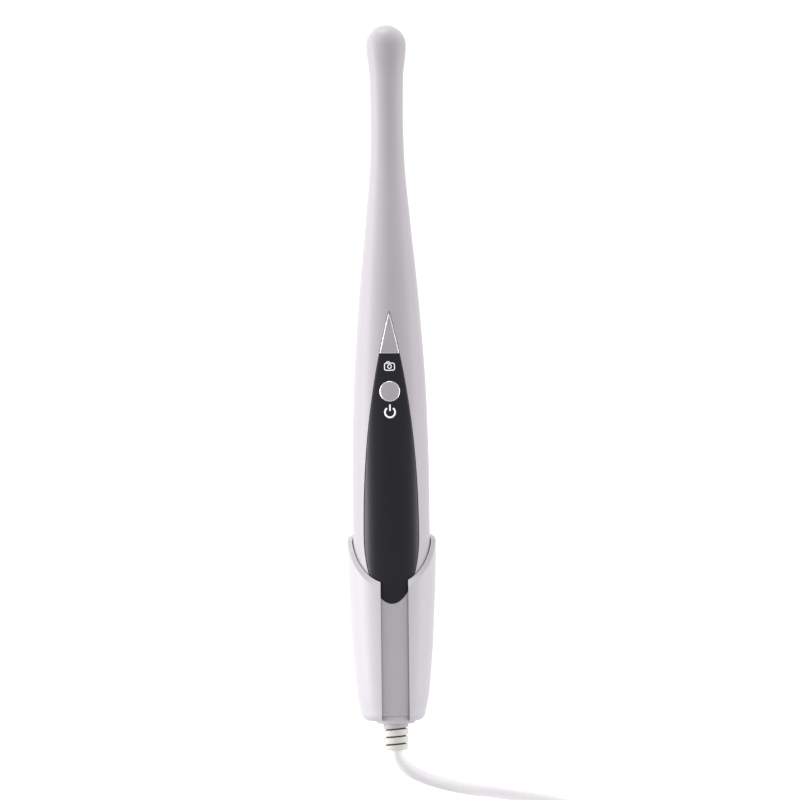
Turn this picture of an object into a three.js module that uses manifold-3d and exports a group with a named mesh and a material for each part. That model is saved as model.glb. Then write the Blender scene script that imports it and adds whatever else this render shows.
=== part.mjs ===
// An intraoral camera: a slim dental camera wand lying on its back in its slotted holder,
// with a ribbed strain relief, a coiled cable and a USB plug.
// Millimetres. +X is to the right, +Y runs along the wand towards the camera head, +Z is up,
// out of the side with the keys. The origin is the middle of the holder's adhesive pad,
// on the surface that the object lies on.
// "along" is a place on the wand's own axis, counted from its tail towards its tip.
import * as THREE from "three";
import { mergeVertices } from "three/addons/utils/BufferGeometryUtils.js";
import Module from "manifold-3d";

const wasm = await Module();
wasm.setup();

// ---------- Driving dimensions ----------

// The wand, stretch by stretch from its tail to its tip
const TAIL_LENGTH = 52; // tapered tail, inside the holder
const GRIP_LENGTH = 43; // grip, nearly parallel
const TAPER_LENGTH = 74; // from the grip to the neck
const NECK_LENGTH = 32.8; // neck, up to the middle of the head
const HEAD_ROUND = 6; // from the middle of the head to the tip
const TAIL_WIDTH = 14.6;
const HANDLE_WIDTH = 22.8;
const NECK_WIDTH = 9.7;
const HEAD_WIDTH = 11.9;
const HANDLE_DEPTH = 21.6;
const NECK_DEPTH = 9.2;
const HEAD_DEPTH = 10.2;
const TAIL_EDGE = 0.8; // round of the tail's edge
const HANDLE_WALL = 2;
const NECK_WALL = 1.2;

// Clearances
const SEAM = 0.1; // between the two halves of the housing
const SEAT = 0.05; // between flat faces that rest on each other
const GAP = 0.3; // between pieces that are built apart
const FIT = 0.15; // round the control panel in its recess

// Control panel and keys
const PANEL_WIDTH = 16.2;
const PANEL_THICKNESS = 0.9;
const PANEL_BOTTOM = 35.2; // along
const PANEL_WIDEST = 55; // along
const PANEL_TIP = 121.9; // along, where the capture key's point ends
const PANEL_POINT = 2.15; // exponent of the pointed upper outline
const CAPTURE_BASE = 109.2; // along, the straight lower edge of the capture key
const CAPTURE_STEM = 113; // along
const POWER_KEY = 98; // along
const POWER_RADIUS = 3.05;
const KEY_PROUD = 0.3; // how far a key stands out of the panel
const KEY_THICKNESS = 0.9;
const KEY_TRAVEL = 0.4;
const KEY_STEM_RADIUS = 1.3;
const KEY_FLANGE_RADIUS = 2.2;
const KEY_FLANGE = 0.6;

// Camera head, on the underside of the tip
const BEZEL_RADIUS = 4.7;
const BEZEL_WALL = 0.7;
const BEZEL_LIP = 0.4;
const BEZEL_HEIGHT = 3.6;
const BEZEL_PROUD = 0.25; // below the head
const WINDOW_THICKNESS = 0.7;
const LED_COUNT = 6;
const LED_MARGIN = 0.45; // what a lamp leaves of the ring between barrel and bezel
const LED_HEIGHT = 0.5;
const BARREL_RADIUS = 2;
const BARREL_HEIGHT = 3.6;
const LENS_RADIUS = 1.2;
const SENSOR_SIZE = 3.6;
const SENSOR_BOARD_SIZE = 5.4;
const THIN_BOARD = 0.6;

// Electronics in the handle
const BOARD_CLEARANCE = 0.85; // to the housing, at the board's narrow end
const BOARD_THICKNESS = 1.2;
const BOARD_START = 25; // along
const BOARD_END = 86; // along
const BOARD_DROP = 2.4; // its upper face, under the wand's axis
const SWITCH_SIZE = 4.5;
const SWITCH_HEIGHT = 1.8;
const KEY_BOARD_WIDTH = 9;

// Screws through the front half into the back half
const SCREW_PLACES = [43, 76]; // along
const SCREW_LENGTH = 12;
const SCREW_RADIUS = 0.85;
const SCREW_HEAD_RADIUS = 1.6;
const SCREW_HEAD = 1;
const BOSS_WALL = 1.2;

// Tail gland and cable
const EXIT_OFFSET = 0.7; // the cable's exit and the holder's slot lie right of the wand's axis
const CABLE_DIAMETER = 3.8;
const COLLAR_RADIUS = 5.8;
const COLLAR_LIP = 2.4;
const COLLAR_STEP = 1.8; // from the lip's edge to the spigot
const GLAND_NUT = 2; // thickness
const RELIEF_RADIUS = 3.7;
const RELIEF_LENGTH = 7.8;
const RELIEF_SLOTS = 3;
const RELIEF_SLOT_PITCH = 2.25;
const RELIEF_SLOT = 0.4;
const RELIEF_WALL = 1.05; // what a slot leaves round the bore
const RELIEF_SLANT = 5; // degrees that the slots lean

// Holder
const HOLDER_CLEARANCE = 0.35;
const HOLDER_WALL = 1.4;
const HOLDER_FLOOR = 1.3;
const HOLDER_CORNER = 2.6; // outside round at the bottom
const SLOT_WIDTH = 8.2;
const RIM_FRONT = 39.2; // along, the rim's lowest point, at the slot
const RIM_SIDE = 53.8; // along, where the slanted rim turns level
const RIM_SIDE_HEIGHT = 1; // above the wand's axis
const RIM_BACK = 57; // along
const RIM_ROUND = 5;
const HOLDER_BACK = 14; // from the wand's axis to the flat back
const BACK_WIDTH = 17;
const PAD_WIDTH = 14;
const PAD_LENGTH = 38;
const PAD_THICKNESS = 1;
const PAD_MIDDLE = 27; // along

// Coil, tie and plug, beside the tail end
const COIL_MIDDLE = [39, -90];
const COIL_RADIUS = 22.8; // at the middle of its turns
const COIL_LAYERS = 4;
const COIL_TURNS_PER_LAYER = 4;
const TIE_WIDTH = 6;
const TIE_THICKNESS = 0.7;
const TIE_ANGLE = 130; // degrees from +X
const PLUG_X = -3;
const PLUG_BOOT_START = -111; // Y of the cable's end of the boot
const BOOT_LENGTH = 12;
const BOOT_RADIUS = 3.4;
const PLUG_BODY = [15.6, 23, 7.9]; // width, length, height
const PLUG_SHELL = [12, 18.75, 4.5];
const PLUG_SHELL_WALL = 0.4;
const TONGUE_THICKNESS = 1.85;

// Facets
const ROUND = 28;
const SMALL_ROUND = 16;
const RELIEF_ROUND = 20;

// ---------- Places that follow from them ----------

const GRIP_START = TAIL_LENGTH;
const TAPER_START = GRIP_START + GRIP_LENGTH;
const NECK_START = TAPER_START + TAPER_LENGTH;
const HEAD_MIDDLE = NECK_START + NECK_LENGTH;
const TAIL_END = HOLDER_FLOOR + GAP; // the tail's flat end, above the holder's floor
const AXIS_HEIGHT = HOLDER_BACK + PAD_THICKNESS;
const NECK_DROP = AXIS_HEIGHT - HEAD_DEPTH / 2 - BEZEL_PROUD;
const BEND_START = TAPER_START + 5;
const CABLE_RADIUS = CABLE_DIAMETER / 2;

// ---------- Helpers ----------

const between = (low, high, share) => low + (high - low) * share;
const ease = (share) => {
  const t = Math.min(1, Math.max(0, share));
  return t * t * (3 - 2 * t);
};

// A smooth curve through [x, y] knots that never overshoots them and is level at its last knot.
function smoothCurve(knots) {
  const rise = knots.slice(1).map(([x, y], i) => (y - knots[i][1]) / (x - knots[i][0]));
  const slope = knots.map((_, i) => {
    if (i === 0) return rise[0];
    if (i === knots.length - 1) return 0;
    const [a, b] = [rise[i - 1], rise[i]];
    return a * b <= 0 ? 0 : (2 * a * b) / (a + b);
  });
  return (x) => {
    let i = knots.findIndex(([end]) => x < end) - 1;
    if (i === -2) i = knots.length - 2;
    if (i === -1) i = 0;
    const [x0, y0] = knots[i];
    const [x1, y1] = knots[i + 1];
    const step = x1 - x0;
    const t = (Math.min(x1, Math.max(x0, x)) - x0) / step;
    return (
      y0 * (1 + 2 * t) * (1 - t) ** 2 +
      slope[i] * step * t * (1 - t) ** 2 +
      y1 * t * t * (3 - 2 * t) +
      slope[i + 1] * step * t * t * (t - 1)
    );
  };
}

// A closed three.js geometry as a manifold-3d solid.
function solid(geometry) {
  const loose = geometry.index ? geometry.toNonIndexed() : geometry;
  const bare = new THREE.BufferGeometry();
  bare.setAttribute("position", loose.getAttribute("position"));
  const merged = mergeVertices(bare, 1e-4);
  const vertProperties = merged.attributes.position.array;
  const triVerts = new Uint32Array(merged.index.array);
  return new wasm.Manifold(new wasm.Mesh({ numProp: 3, vertProperties, triVerts }));
}

const box = (width, length, height, x, y, z) =>
  solid(new THREE.BoxGeometry(width, length, height).translate(x, y, z));

// A profile of [radius, place] points turned round the wand's direction, +Y.
const turned = (profile, sides = SMALL_ROUND) =>
  solid(new THREE.LatheGeometry(profile.map(([r, y]) => new THREE.Vector2(r, y)), sides));

// The same, turned round the upright direction, +Z, at x and y.
function turnedUp(profile, x = 0, y = 0, sides = SMALL_ROUND) {
  const points = profile.map(([r, z]) => new THREE.Vector2(r, z));
  return solid(new THREE.LatheGeometry(points, sides).rotateX(Math.PI / 2).translate(x, y, 0));
}

const rod = (radius, low, high) => [
  [0, low],
  [radius, low],
  [radius, high],
  [0, high],
];
const tube = (inner, outer, low, high) => [
  [inner, low],
  [outer, low],
  [outer, high],
  [inner, high],
  [inner, low],
];

// An outline in x and y, as a solid from one height to another.
function prism(shape, low, high) {
  const geometry = new THREE.ExtrudeGeometry(shape, { depth: high - low, bevelEnabled: false });
  return solid(geometry.translate(0, 0, low));
}

// An outline in y and z, as a solid that reaches as far left as right.
function sideways(shape, width) {
  const geometry = new THREE.ExtrudeGeometry(shape, { depth: width, bevelEnabled: false });
  geometry.translate(0, 0, -width / 2);
  const [x, y, z] = [new THREE.Vector3(1, 0, 0), new THREE.Vector3(0, 1, 0), new THREE.Vector3(0, 0, 1)];
  return solid(geometry.applyMatrix4(new THREE.Matrix4().makeBasis(y, z, x)));
}

const outline = (points) => new THREE.Shape(points.map(([x, y]) => new THREE.Vector2(x, y)));

function roundedRectangle(width, length, radius, corners = 3) {
  const points = [];
  for (let corner = 0; corner < 4; corner++) {
    const [sx, sy] = [[1, 1], [-1, 1], [-1, -1], [1, -1]][corner];
    for (let i = 0; i <= corners; i++) {
      const angle = (corner + i / corners) * (Math.PI / 2);
      points.push([
        sx * (width / 2 - radius) + radius * Math.cos(angle),
        sy * (length / 2 - radius) + radius * Math.sin(angle),
      ]);
    }
  }
  return points;
}

// A section swept along a route of [x, y, z] points.
function swept(section, route, steps) {
  const extrudePath = new THREE.CatmullRomCurve3(route.map((p) => new THREE.Vector3(...p)));
  return solid(new THREE.ExtrudeGeometry(outline(section), { steps, extrudePath, bevelEnabled: false }));
}

function circle(radius, sides) {
  return Array.from({ length: sides }, (_, i) => {
    const angle = (i * 2 * Math.PI) / sides;
    return [radius * Math.cos(angle), radius * Math.sin(angle)];
  });
}

// ---------- The wand's shape ----------

const handleRatio = HANDLE_DEPTH / HANDLE_WIDTH;
const stations = [
  { along: 0, width: TAIL_WIDTH },
  { along: TAIL_LENGTH * 0.17, width: between(TAIL_WIDTH, HANDLE_WIDTH, 0.43) },
  { along: TAIL_LENGTH * 0.58, width: between(TAIL_WIDTH, HANDLE_WIDTH, 0.82) },
  { along: GRIP_START, width: HANDLE_WIDTH },
  { along: GRIP_START + GRIP_LENGTH * 0.45, width: HANDLE_WIDTH },
  { along: TAPER_START, width: between(NECK_WIDTH, HANDLE_WIDTH, 0.92) },
  { along: TAPER_START + TAPER_LENGTH * 0.41, width: between(NECK_WIDTH, HANDLE_WIDTH, 0.62) },
  { along: TAPER_START + TAPER_LENGTH * 0.73, width: between(NECK_WIDTH, HANDLE_WIDTH, 0.275) },
  { along: NECK_START, width: between(NECK_WIDTH, HANDLE_WIDTH, 0.03) },
  { along: NECK_START + NECK_LENGTH * 0.33, width: NECK_WIDTH },
  { along: NECK_START + NECK_LENGTH * 0.7, width: between(NECK_WIDTH, HEAD_WIDTH, 0.18) },
  { along: HEAD_MIDDLE, width: HEAD_WIDTH },
];
const halfWidth = smoothCurve(stations.map(({ along, width }) => [along, width / 2]));
// Depth as a share of width: that of the handle, the neck and the head, eased from one to the next.
const depthShare = smoothCurve([
  [0, handleRatio],
  [TAPER_START, handleRatio],
  [NECK_START, NECK_DEPTH / NECK_WIDTH],
  [NECK_START + NECK_LENGTH / 2, NECK_DEPTH / NECK_WIDTH],
  [HEAD_MIDDLE, HEAD_DEPTH / HEAD_WIDTH],
]);
const halfDepth = (along) => halfWidth(along) * depthShare(along);
// How far the wand's middle line lies under the handle's axis: the neck bends down to the head.
const drop = (along) => NECK_DROP * ease((along - BEND_START) / (HEAD_MIDDLE - BEND_START));
const wall = (along) => between(HANDLE_WALL, NECK_WALL, ease((along - TAPER_START) / TAPER_LENGTH));
const frontSurface = (along) => halfDepth(along) - drop(along);

// Places to sample the wand at, closer where it curves more.
function sampled(from) {
  const places = [];
  const stretches = [
    [from, GRIP_START, 6],
    [GRIP_START, TAPER_START, 4],
    [TAPER_START, NECK_START, 8],
    [NECK_START, HEAD_MIDDLE, 7],
  ];
  for (const [low, high, count] of stretches) {
    for (let i = 0; i < count; i++) places.push(between(low, high, i / count));
  }
  return places;
}

// The wand as a solid whose surface lies inset(along) inside the true one.
function wandSolid(inset) {
  const start = TAIL_END + Math.max(0, inset(TAIL_END));
  const edge = TAIL_EDGE;
  const radius = (along) => halfWidth(along) - inset(along);
  const startRadius = radius(start + edge);
  const profile = [[0, start]];
  for (const share of [0, 1 / 3, 2 / 3]) {
    const angle = (share * Math.PI) / 2;
    profile.push([startRadius - edge * (1 - Math.sin(angle)), start + edge * (1 - Math.cos(angle))]);
  }
  for (const along of sampled(start + edge)) profile.push([radius(along), along]);
  const [tipWidth, tipLength] = [radius(HEAD_MIDDLE), HEAD_ROUND - inset(HEAD_MIDDLE)];
  const arc = 6;
  for (let i = 0; i <= arc; i++) {
    const angle = (i / arc) * (Math.PI / 2);
    profile.push([i === arc ? 0 : tipWidth * Math.cos(angle), HEAD_MIDDLE + tipLength * Math.sin(angle)]);
  }
  const geometry = new THREE.LatheGeometry(profile.map(([r, y]) => new THREE.Vector2(r, y)), ROUND);
  const place = geometry.getAttribute("position");
  for (let i = 0; i < place.count; i++) {
    const along = Math.min(place.getY(i), HEAD_MIDDLE);
    const flatten = (halfDepth(along) - inset(along)) / radius(along);
    place.setZ(i, place.getZ(i) * flatten - drop(along));
  }
  return solid(geometry);
}

// Everything above the seam, which follows the wand's middle line, raised by lift.
function aboveSeam(lift) {
  const far = 60;
  const line = [[-far, lift]];
  for (const along of sampled(0)) line.push([along, lift - drop(along)]);
  line.push([HEAD_MIDDLE, lift - drop(HEAD_MIDDLE)], [HEAD_MIDDLE + far, lift - drop(HEAD_MIDDLE)]);
  return sideways(outline([...line, [HEAD_MIDDLE + far, far], [-far, far]]), far);
}

// The control panel's outline with the capture key's point on top, grown by grow.
function panelOutline(grow) {
  const half = PANEL_WIDTH / 2;
  const upper = PANEL_TIP - PANEL_WIDEST;
  const pointAngle = Math.atan((half * PANEL_POINT) / upper);
  const [wide, tall] = [half + grow, upper + grow / Math.sin(pointAngle)];
  const low = PANEL_WIDEST - PANEL_BOTTOM + grow;
  const [upperSteps, lowerSteps] = [12, 10];
  const right = [];
  for (let i = 0; i < lowerSteps; i++) {
    const angle = (i / lowerSteps) * (Math.PI / 2);
    right.push([wide * Math.sin(angle), PANEL_WIDEST - low * Math.cos(angle)]);
  }
  for (let i = 0; i < upperSteps; i++) {
    const share = i / upperSteps;
    right.push([wide * (1 - share ** PANEL_POINT), PANEL_WIDEST + tall * share]);
  }
  const left = right.slice(1).map(([x, y]) => [-x, y]);
  return outline([...right, [0, PANEL_WIDEST + tall], ...left.reverse()]);
}

// ---------- Keys ----------

const TALL = 30; // higher than anything on the wand
const keyRecess = KEY_THICKNESS - KEY_PROUD + KEY_TRAVEL + GAP; // below the wand's surface
const aboveCaptureBase = (gap) => box(60, 60, 120, 0, CAPTURE_BASE + gap + 30, 0);
const captureArea = (grow, gap) => prism(panelOutline(grow), 0, TALL).intersect(aboveCaptureBase(gap));
const powerArea = (grow) => turnedUp(rod(POWER_RADIUS + grow, 0, TALL), 0, POWER_KEY, ROUND);
// How high a key's flange may reach under the curved inside of the front half.
function flangeTop(along) {
  const far = along + KEY_FLANGE_RADIUS;
  const [width, depth] = [halfWidth(far) - wall(far), halfDepth(far) - wall(far)];
  return depth * Math.sqrt(1 - (KEY_FLANGE_RADIUS / width) ** 2) - drop(far) - GAP;
}
const stemFoot = flangeTop(CAPTURE_STEM) - KEY_FLANGE; // both keys' stems end at this height

// A key: a cap that follows the wand's surface, a stem, and a flange that keeps it in.
function key(area, along) {
  const cap = area.intersect(wandSolid(() => -KEY_PROUD)).subtract(wandSolid(() => KEY_THICKNESS - KEY_PROUD));
  const top = flangeTop(along);
  const stem = turnedUp(rod(KEY_STEM_RADIUS, stemFoot, frontSurface(along) - KEY_THICKNESS / 2), 0, along);
  const flange = turnedUp(rod(KEY_FLANGE_RADIUS, top - KEY_FLANGE, top), 0, along);
  return cap.add(stem).add(flange);
}

const PLUNGER_RADIUS = 0.9;
const PLUNGER_LENGTH = 1.5;
const plungerTop = stemFoot - SEAT;
const switchTop = plungerTop - KEY_TRAVEL - GAP;
const keyBoardTop = switchTop - SWITCH_HEIGHT - SEAT;

const plunger = (along) => turnedUp(rod(PLUNGER_RADIUS, plungerTop - PLUNGER_LENGTH, plungerTop), 0, along);
function keySwitch(along) {
  const body = box(SWITCH_SIZE, SWITCH_SIZE, SWITCH_HEIGHT, 0, along, switchTop - SWITCH_HEIGHT / 2);
  const wellFloor = plungerTop - PLUNGER_LENGTH - KEY_TRAVEL - SEAT;
  return body.subtract(turnedUp(rod(PLUNGER_RADIUS + FIT, wellFloor, TALL), 0, along));
}
function keyBoard() {
  const [low, high] = [POWER_KEY - SWITCH_SIZE, CAPTURE_STEM + SWITCH_SIZE];
  return box(KEY_BOARD_WIDTH, high - low, THIN_BOARD, 0, (low + high) / 2, keyBoardTop - THIN_BOARD / 2);
}

// ---------- Housing and panel ----------

const bossRadius = SCREW_HEAD_RADIUS + GAP + BOSS_WALL;
const panelFloor = PANEL_THICKNESS + SEAT; // depth of the panel's recess
const screwSeat = (along) => frontSurface(along) - panelFloor - GAP - SCREW_HEAD;

function frontShell() {
  let shell = wandSolid(() => 0).subtract(wandSolid(wall));
  for (const along of SCREW_PLACES) {
    const column = turnedUp(rod(bossRadius, 0, TALL), 0, along).intersect(wandSolid(() => HANDLE_WALL / 2));
    shell = shell.add(column);
  }
  shell = shell.intersect(aboveSeam(SEAM / 2));
  shell = shell.subtract(prism(panelOutline(FIT), 0, TALL).subtract(wandSolid(() => panelFloor)));
  const keyPockets = captureArea(FIT, -FIT).add(powerArea(FIT)).subtract(wandSolid(() => keyRecess));
  shell = shell.subtract(keyPockets);
  for (const along of [CAPTURE_STEM, POWER_KEY]) {
    shell = shell.subtract(turnedUp(rod(KEY_STEM_RADIUS + GAP, 0, TALL), 0, along));
  }
  for (const along of SCREW_PLACES) {
    shell = shell.subtract(turnedUp(rod(SCREW_RADIUS + GAP, -TALL, TALL), 0, along));
    shell = shell.subtract(turnedUp(rod(SCREW_HEAD_RADIUS + GAP, screwSeat(along) - SEAT, TALL), 0, along));
  }
  return shell.subtract(tailBore());
}

function backShell() {
  let shell = wandSolid(() => 0).subtract(wandSolid(wall));
  for (const along of SCREW_PLACES) {
    const column = turnedUp(rod(bossRadius, -TALL, 0), 0, along);
    shell = shell.add(column.intersect(wandSolid(() => HANDLE_WALL / 2)));
  }
  shell = shell.subtract(aboveSeam(-SEAM / 2));
  for (const along of SCREW_PLACES) {
    const depth = screwSeat(along) - SCREW_LENGTH - GAP;
    shell = shell.subtract(turnedUp(rod(SCREW_RADIUS + GAP, depth, TALL), 0, along));
  }
  const bezelHole = rod(BEZEL_RADIUS + FIT, -TALL, -drop(HEAD_MIDDLE));
  return shell.subtract(turnedUp(bezelHole, 0, HEAD_MIDDLE, ROUND)).subtract(tailBore());
}

function controlPanel() {
  const area = prism(panelOutline(0), 0, TALL).subtract(aboveCaptureBase(-FIT));
  const skin = wandSolid(() => 0).subtract(wandSolid(() => PANEL_THICKNESS));
  return skin.intersect(area).subtract(powerArea(FIT));
}

function screw(along) {
  const seat = screwSeat(along);
  const profile = [
    [0, seat - SCREW_LENGTH],
    [SCREW_RADIUS, seat - SCREW_LENGTH + 1],
    [SCREW_RADIUS, seat],
    [SCREW_HEAD_RADIUS, seat],
    [SCREW_HEAD_RADIUS, seat + SCREW_HEAD * 0.6],
    [SCREW_HEAD_RADIUS * 0.6, seat + SCREW_HEAD],
    [0, seat + SCREW_HEAD],
  ];
  return turnedUp(profile, 0, along, 16);
}

// ---------- Camera head ----------

const headFloor = -NECK_DROP - HEAD_DEPTH / 2 - BEZEL_PROUD; // the bezel's outer face
const windowLow = headFloor + BEZEL_LIP + SEAT;
const ledLow = windowLow + WINDOW_THICKNESS + GAP;
const ledBoardLow = ledLow + LED_HEIGHT + SEAT;
const barrelLow = windowLow + WINDOW_THICKNESS + GAP;
const sensorLow = barrelLow + BARREL_HEIGHT + SEAT;
const sensorBoardLow = sensorLow + THIN_BOARD + SEAT;
const boreRadius = BEZEL_RADIUS - BEZEL_WALL;
const ledRing = (BARREL_RADIUS + GAP + boreRadius - FIT) / 2;
const ledSize = boreRadius - FIT - BARREL_RADIUS - GAP - LED_MARGIN;
const atHead = (profile, sides) => turnedUp(profile, 0, HEAD_MIDDLE, sides);

function windowBezel() {
  const chamfer = 0.35;
  const top = headFloor + BEZEL_HEIGHT;
  return atHead(
    [
      [boreRadius - BEZEL_WALL / 2, headFloor],
      [BEZEL_RADIUS - chamfer, headFloor],
      [BEZEL_RADIUS, headFloor + chamfer],
      [BEZEL_RADIUS, top],
      [boreRadius, top],
      [boreRadius, headFloor + BEZEL_LIP],
      [boreRadius - BEZEL_WALL / 2, headFloor + BEZEL_LIP],
      [boreRadius - BEZEL_WALL / 2, headFloor],
    ],
    ROUND,
  );
}

function led(index) {
  const angle = (index * 2 * Math.PI) / LED_COUNT;
  const lamp = new THREE.BoxGeometry(ledSize, ledSize, LED_HEIGHT).translate(ledRing, 0, 0).rotateZ(angle);
  return solid(lamp.translate(0, HEAD_MIDDLE, ledLow + LED_HEIGHT / 2));
}

function lensBarrel() {
  const top = barrelLow + BARREL_HEIGHT;
  const step = barrelLow + BARREL_HEIGHT / 2;
  return atHead([
    [LENS_RADIUS + FIT, barrelLow],
    [BARREL_RADIUS, barrelLow],
    [BARREL_RADIUS, top],
    [LENS_RADIUS - FIT, top],
    [LENS_RADIUS - FIT, step],
    [LENS_RADIUS + FIT, step],
    [LENS_RADIUS + FIT, barrelLow],
  ]);
}

// The front lens, a short rod with a domed outer face.
function frontLens() {
  const top = barrelLow + BARREL_HEIGHT / 2 - SEAT;
  const edge = barrelLow + 0.5;
  return atHead([
    [0, barrelLow + 0.15],
    [LENS_RADIUS * 0.6, barrelLow + 0.25],
    [LENS_RADIUS, edge],
    [LENS_RADIUS, top],
    [0, top],
  ]);
}

const sensorPlate = (size, low) =>
  box(size, size, THIN_BOARD, 0, HEAD_MIDDLE, low + THIN_BOARD / 2);

// ---------- Electronics ----------

const boardTop = -BOARD_DROP;
// The board's width is what the tail leaves at its start.
function boardWidth() {
  const [width, depth] = [halfWidth(BOARD_START) - HANDLE_WALL, halfDepth(BOARD_START) - HANDLE_WALL];
  return 2 * (width * Math.sqrt(1 - ((BOARD_DROP + BOARD_THICKNESS) / depth) ** 2) - BOARD_CLEARANCE);
}
function mainBoard() {
  const middle = (BOARD_START + BOARD_END) / 2;
  const length = BOARD_END - BOARD_START;
  let board = box(boardWidth(), length, BOARD_THICKNESS, 0, middle, boardTop - BOARD_THICKNESS / 2);
  for (const along of SCREW_PLACES) {
    board = board.subtract(turnedUp(rod(bossRadius + GAP, -TALL, TALL), 0, along));
  }
  return board;
}

// A chip or connector standing on the main board.
const onBoard = (width, length, height, along) =>
  box(width, length, height, 0, along, boardTop + SEAT + height / 2);

// The ribbon from the sensor board through the neck to the connector on the main board.
const RIBBON_WIDTH = 3;
const RIBBON_THICKNESS = 0.3;
const ribbonConnector = [6, 4, 1.6]; // width, length, height
const ribbonConnectorPlace = BOARD_END - 4;
function ribbon() {
  const start = HEAD_MIDDLE - SENSOR_BOARD_SIZE / 2 - GAP;
  const end = ribbonConnectorPlace + ribbonConnector[1] / 2 + GAP;
  const height = boardTop + ribbonConnector[2] / 2;
  const route = [[0, start, sensorBoardLow + THIN_BOARD / 2]];
  for (const share of [0.2, 0.4, 0.6, 0.8]) {
    const along = between(start, BOARD_END + 4, share);
    route.push([0, along, between(-drop(along), height, share ** 3)]);
  }
  route.push([0, BOARD_END + 3, height], [0, end, height]);
  const [wide, thick] = [RIBBON_WIDTH / 2, RIBBON_THICKNESS / 2];
  return swept([[-wide, -thick], [wide, -thick], [wide, thick], [-wide, thick]], route, 20);
}

// ---------- Tail: collar, nut, strain relief, cable end ----------

const spigotRadius = COLLAR_RADIUS - COLLAR_STEP;
const collarBore = RELIEF_RADIUS - 0.4 + FIT;
const collarTop = TAIL_END - SEAT; // the lip's upper face, under the tail
const nutLow = TAIL_END + HANDLE_WALL + GAP;
const nutHigh = nutLow + GLAND_NUT;
const reliefTop = collarTop - COLLAR_LIP - SEAT; // where the ribbed part starts
const reliefEnd = reliefTop - RELIEF_LENGTH;
const atExit = (body) => body.translate([EXIT_OFFSET, 0, 0]);
const tailBore = () => atExit(turned(rod(spigotRadius + FIT, -5, nutLow)));

function tailCollar() {
  const chamfer = 0.4;
  const low = collarTop - COLLAR_LIP;
  return turned(
    [
      [collarBore, low],
      [COLLAR_RADIUS - chamfer, low],
      [COLLAR_RADIUS, low + chamfer],
      [COLLAR_RADIUS, collarTop],
      [spigotRadius, collarTop],
      [spigotRadius, nutHigh],
      [collarBore, nutHigh],
      [collarBore, low],
    ],
    ROUND,
  );
}

// A hexagonal nut on the collar's spigot, inside the tail.
function glandNut() {
  const acrossCorners = spigotRadius + FIT + 0.7;
  const nut = turned(rod(acrossCorners, nutLow, nutHigh), 6);
  return nut.subtract(turned(rod(spigotRadius + FIT, -5, TALL)));
}

function strainRelief() {
  const flangeLow = nutHigh + SEAT;
  const bore = CABLE_RADIUS + FIT;
  let relief = turned(
    [
      [bore, reliefEnd],
      [RELIEF_RADIUS - 0.5, reliefEnd],
      [RELIEF_RADIUS - 0.2, reliefEnd + 0.3],
      [RELIEF_RADIUS, reliefTop],
      [collarBore - FIT, reliefTop],
      [collarBore - FIT, flangeLow],
      [spigotRadius, flangeLow],
      [spigotRadius, flangeLow + 1.2],
      [bore, flangeLow + 1.2],
      [bore, reliefEnd],
    ],
    RELIEF_ROUND,
  );
  for (let i = 0; i < RELIEF_SLOTS; i++) {
    const profile = tube(bore + RELIEF_WALL - FIT, RELIEF_RADIUS + 1, -RELIEF_SLOT / 2, RELIEF_SLOT / 2);
    const points = profile.map(([r, y]) => new THREE.Vector2(r, y));
    const slot = new THREE.LatheGeometry(points, RELIEF_ROUND).rotateZ(THREE.MathUtils.degToRad(RELIEF_SLANT));
    relief = relief.subtract(solid(slot.translate(0, reliefTop - 1.6 - i * RELIEF_SLOT_PITCH, 0)));
  }
  return relief;
}

const sheathEnd = nutHigh + 7; // where the cable's jacket ends inside the tail
const clampMiddle = nutHigh + 4.4;
const cableEnd = () => turned(rod(CABLE_RADIUS, reliefEnd + GAP, sheathEnd));
const cableClamp = () => turned(tube(CABLE_RADIUS + SEAT, CABLE_RADIUS + 1.1, clampMiddle - 1.5, clampMiddle + 1.5));
const header = [9, 4.5, 3]; // width, length, height of the cable's connector on the board
const headerPlace = BOARD_START + 4;

// One of the insulated wires from the cable's jacket to the header.
const WIRE_RADIUS = 0.4;
function wire(index) {
  const [side, top] = [index % 2 ? 1 : -1, index < 2 ? 1 : -1];
  const start = sheathEnd + GAP;
  const end = headerPlace - header[1] / 2 - GAP;
  const inner = [side * 0.6, start, top * 0.6];
  const outer = [side * (top > 0 ? 1 : 3), end, boardTop + header[2] / 2];
  const bulge = [side * 1.6, between(start, end, 0.5), between(inner[2], outer[2], 0.5) + top * 0.5];
  return swept(circle(WIRE_RADIUS, 6), [inner, bulge, outer], 6);
}

// ---------- Holder ----------

const holderInside = (along) => halfWidth(along) + HOLDER_CLEARANCE;
const holderOutside = (along) => holderInside(along) + HOLDER_WALL;
const HOLDER_TOP = Math.max(RIM_BACK, RIM_SIDE) + 8; // uncut height, above the rim
const HOLDER_STEPS = 7;

// The holder's outside or inside as a solid, turned and then flattened as the wand is.
function holderSolid(radius, low, corner) {
  const profile = [[0, low - corner * 0.2]];
  for (const share of [0, 0.35, 0.7]) {
    const angle = (share * Math.PI) / 2;
    const round = corner * (1 - Math.sin(angle));
    profile.push([radius(low + corner) - round, low + corner * (1 - Math.cos(angle))]);
  }
  for (let i = 0; i <= HOLDER_STEPS; i++) {
    const along = between(low + corner, HOLDER_TOP, i / HOLDER_STEPS);
    profile.push([radius(along), along]);
  }
  profile.push([0, HOLDER_TOP]);
  const geometry = new THREE.LatheGeometry(profile.map(([r, y]) => new THREE.Vector2(r, y)), ROUND);
  const place = geometry.getAttribute("position");
  for (let i = 0; i < place.count; i++) {
    const along = Math.min(Math.max(place.getY(i), low + corner), HOLDER_TOP);
    const extra = radius(along) - halfWidth(along);
    place.setZ(i, (place.getZ(i) * (halfDepth(along) + extra)) / radius(along));
  }
  return solid(geometry);
}

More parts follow.
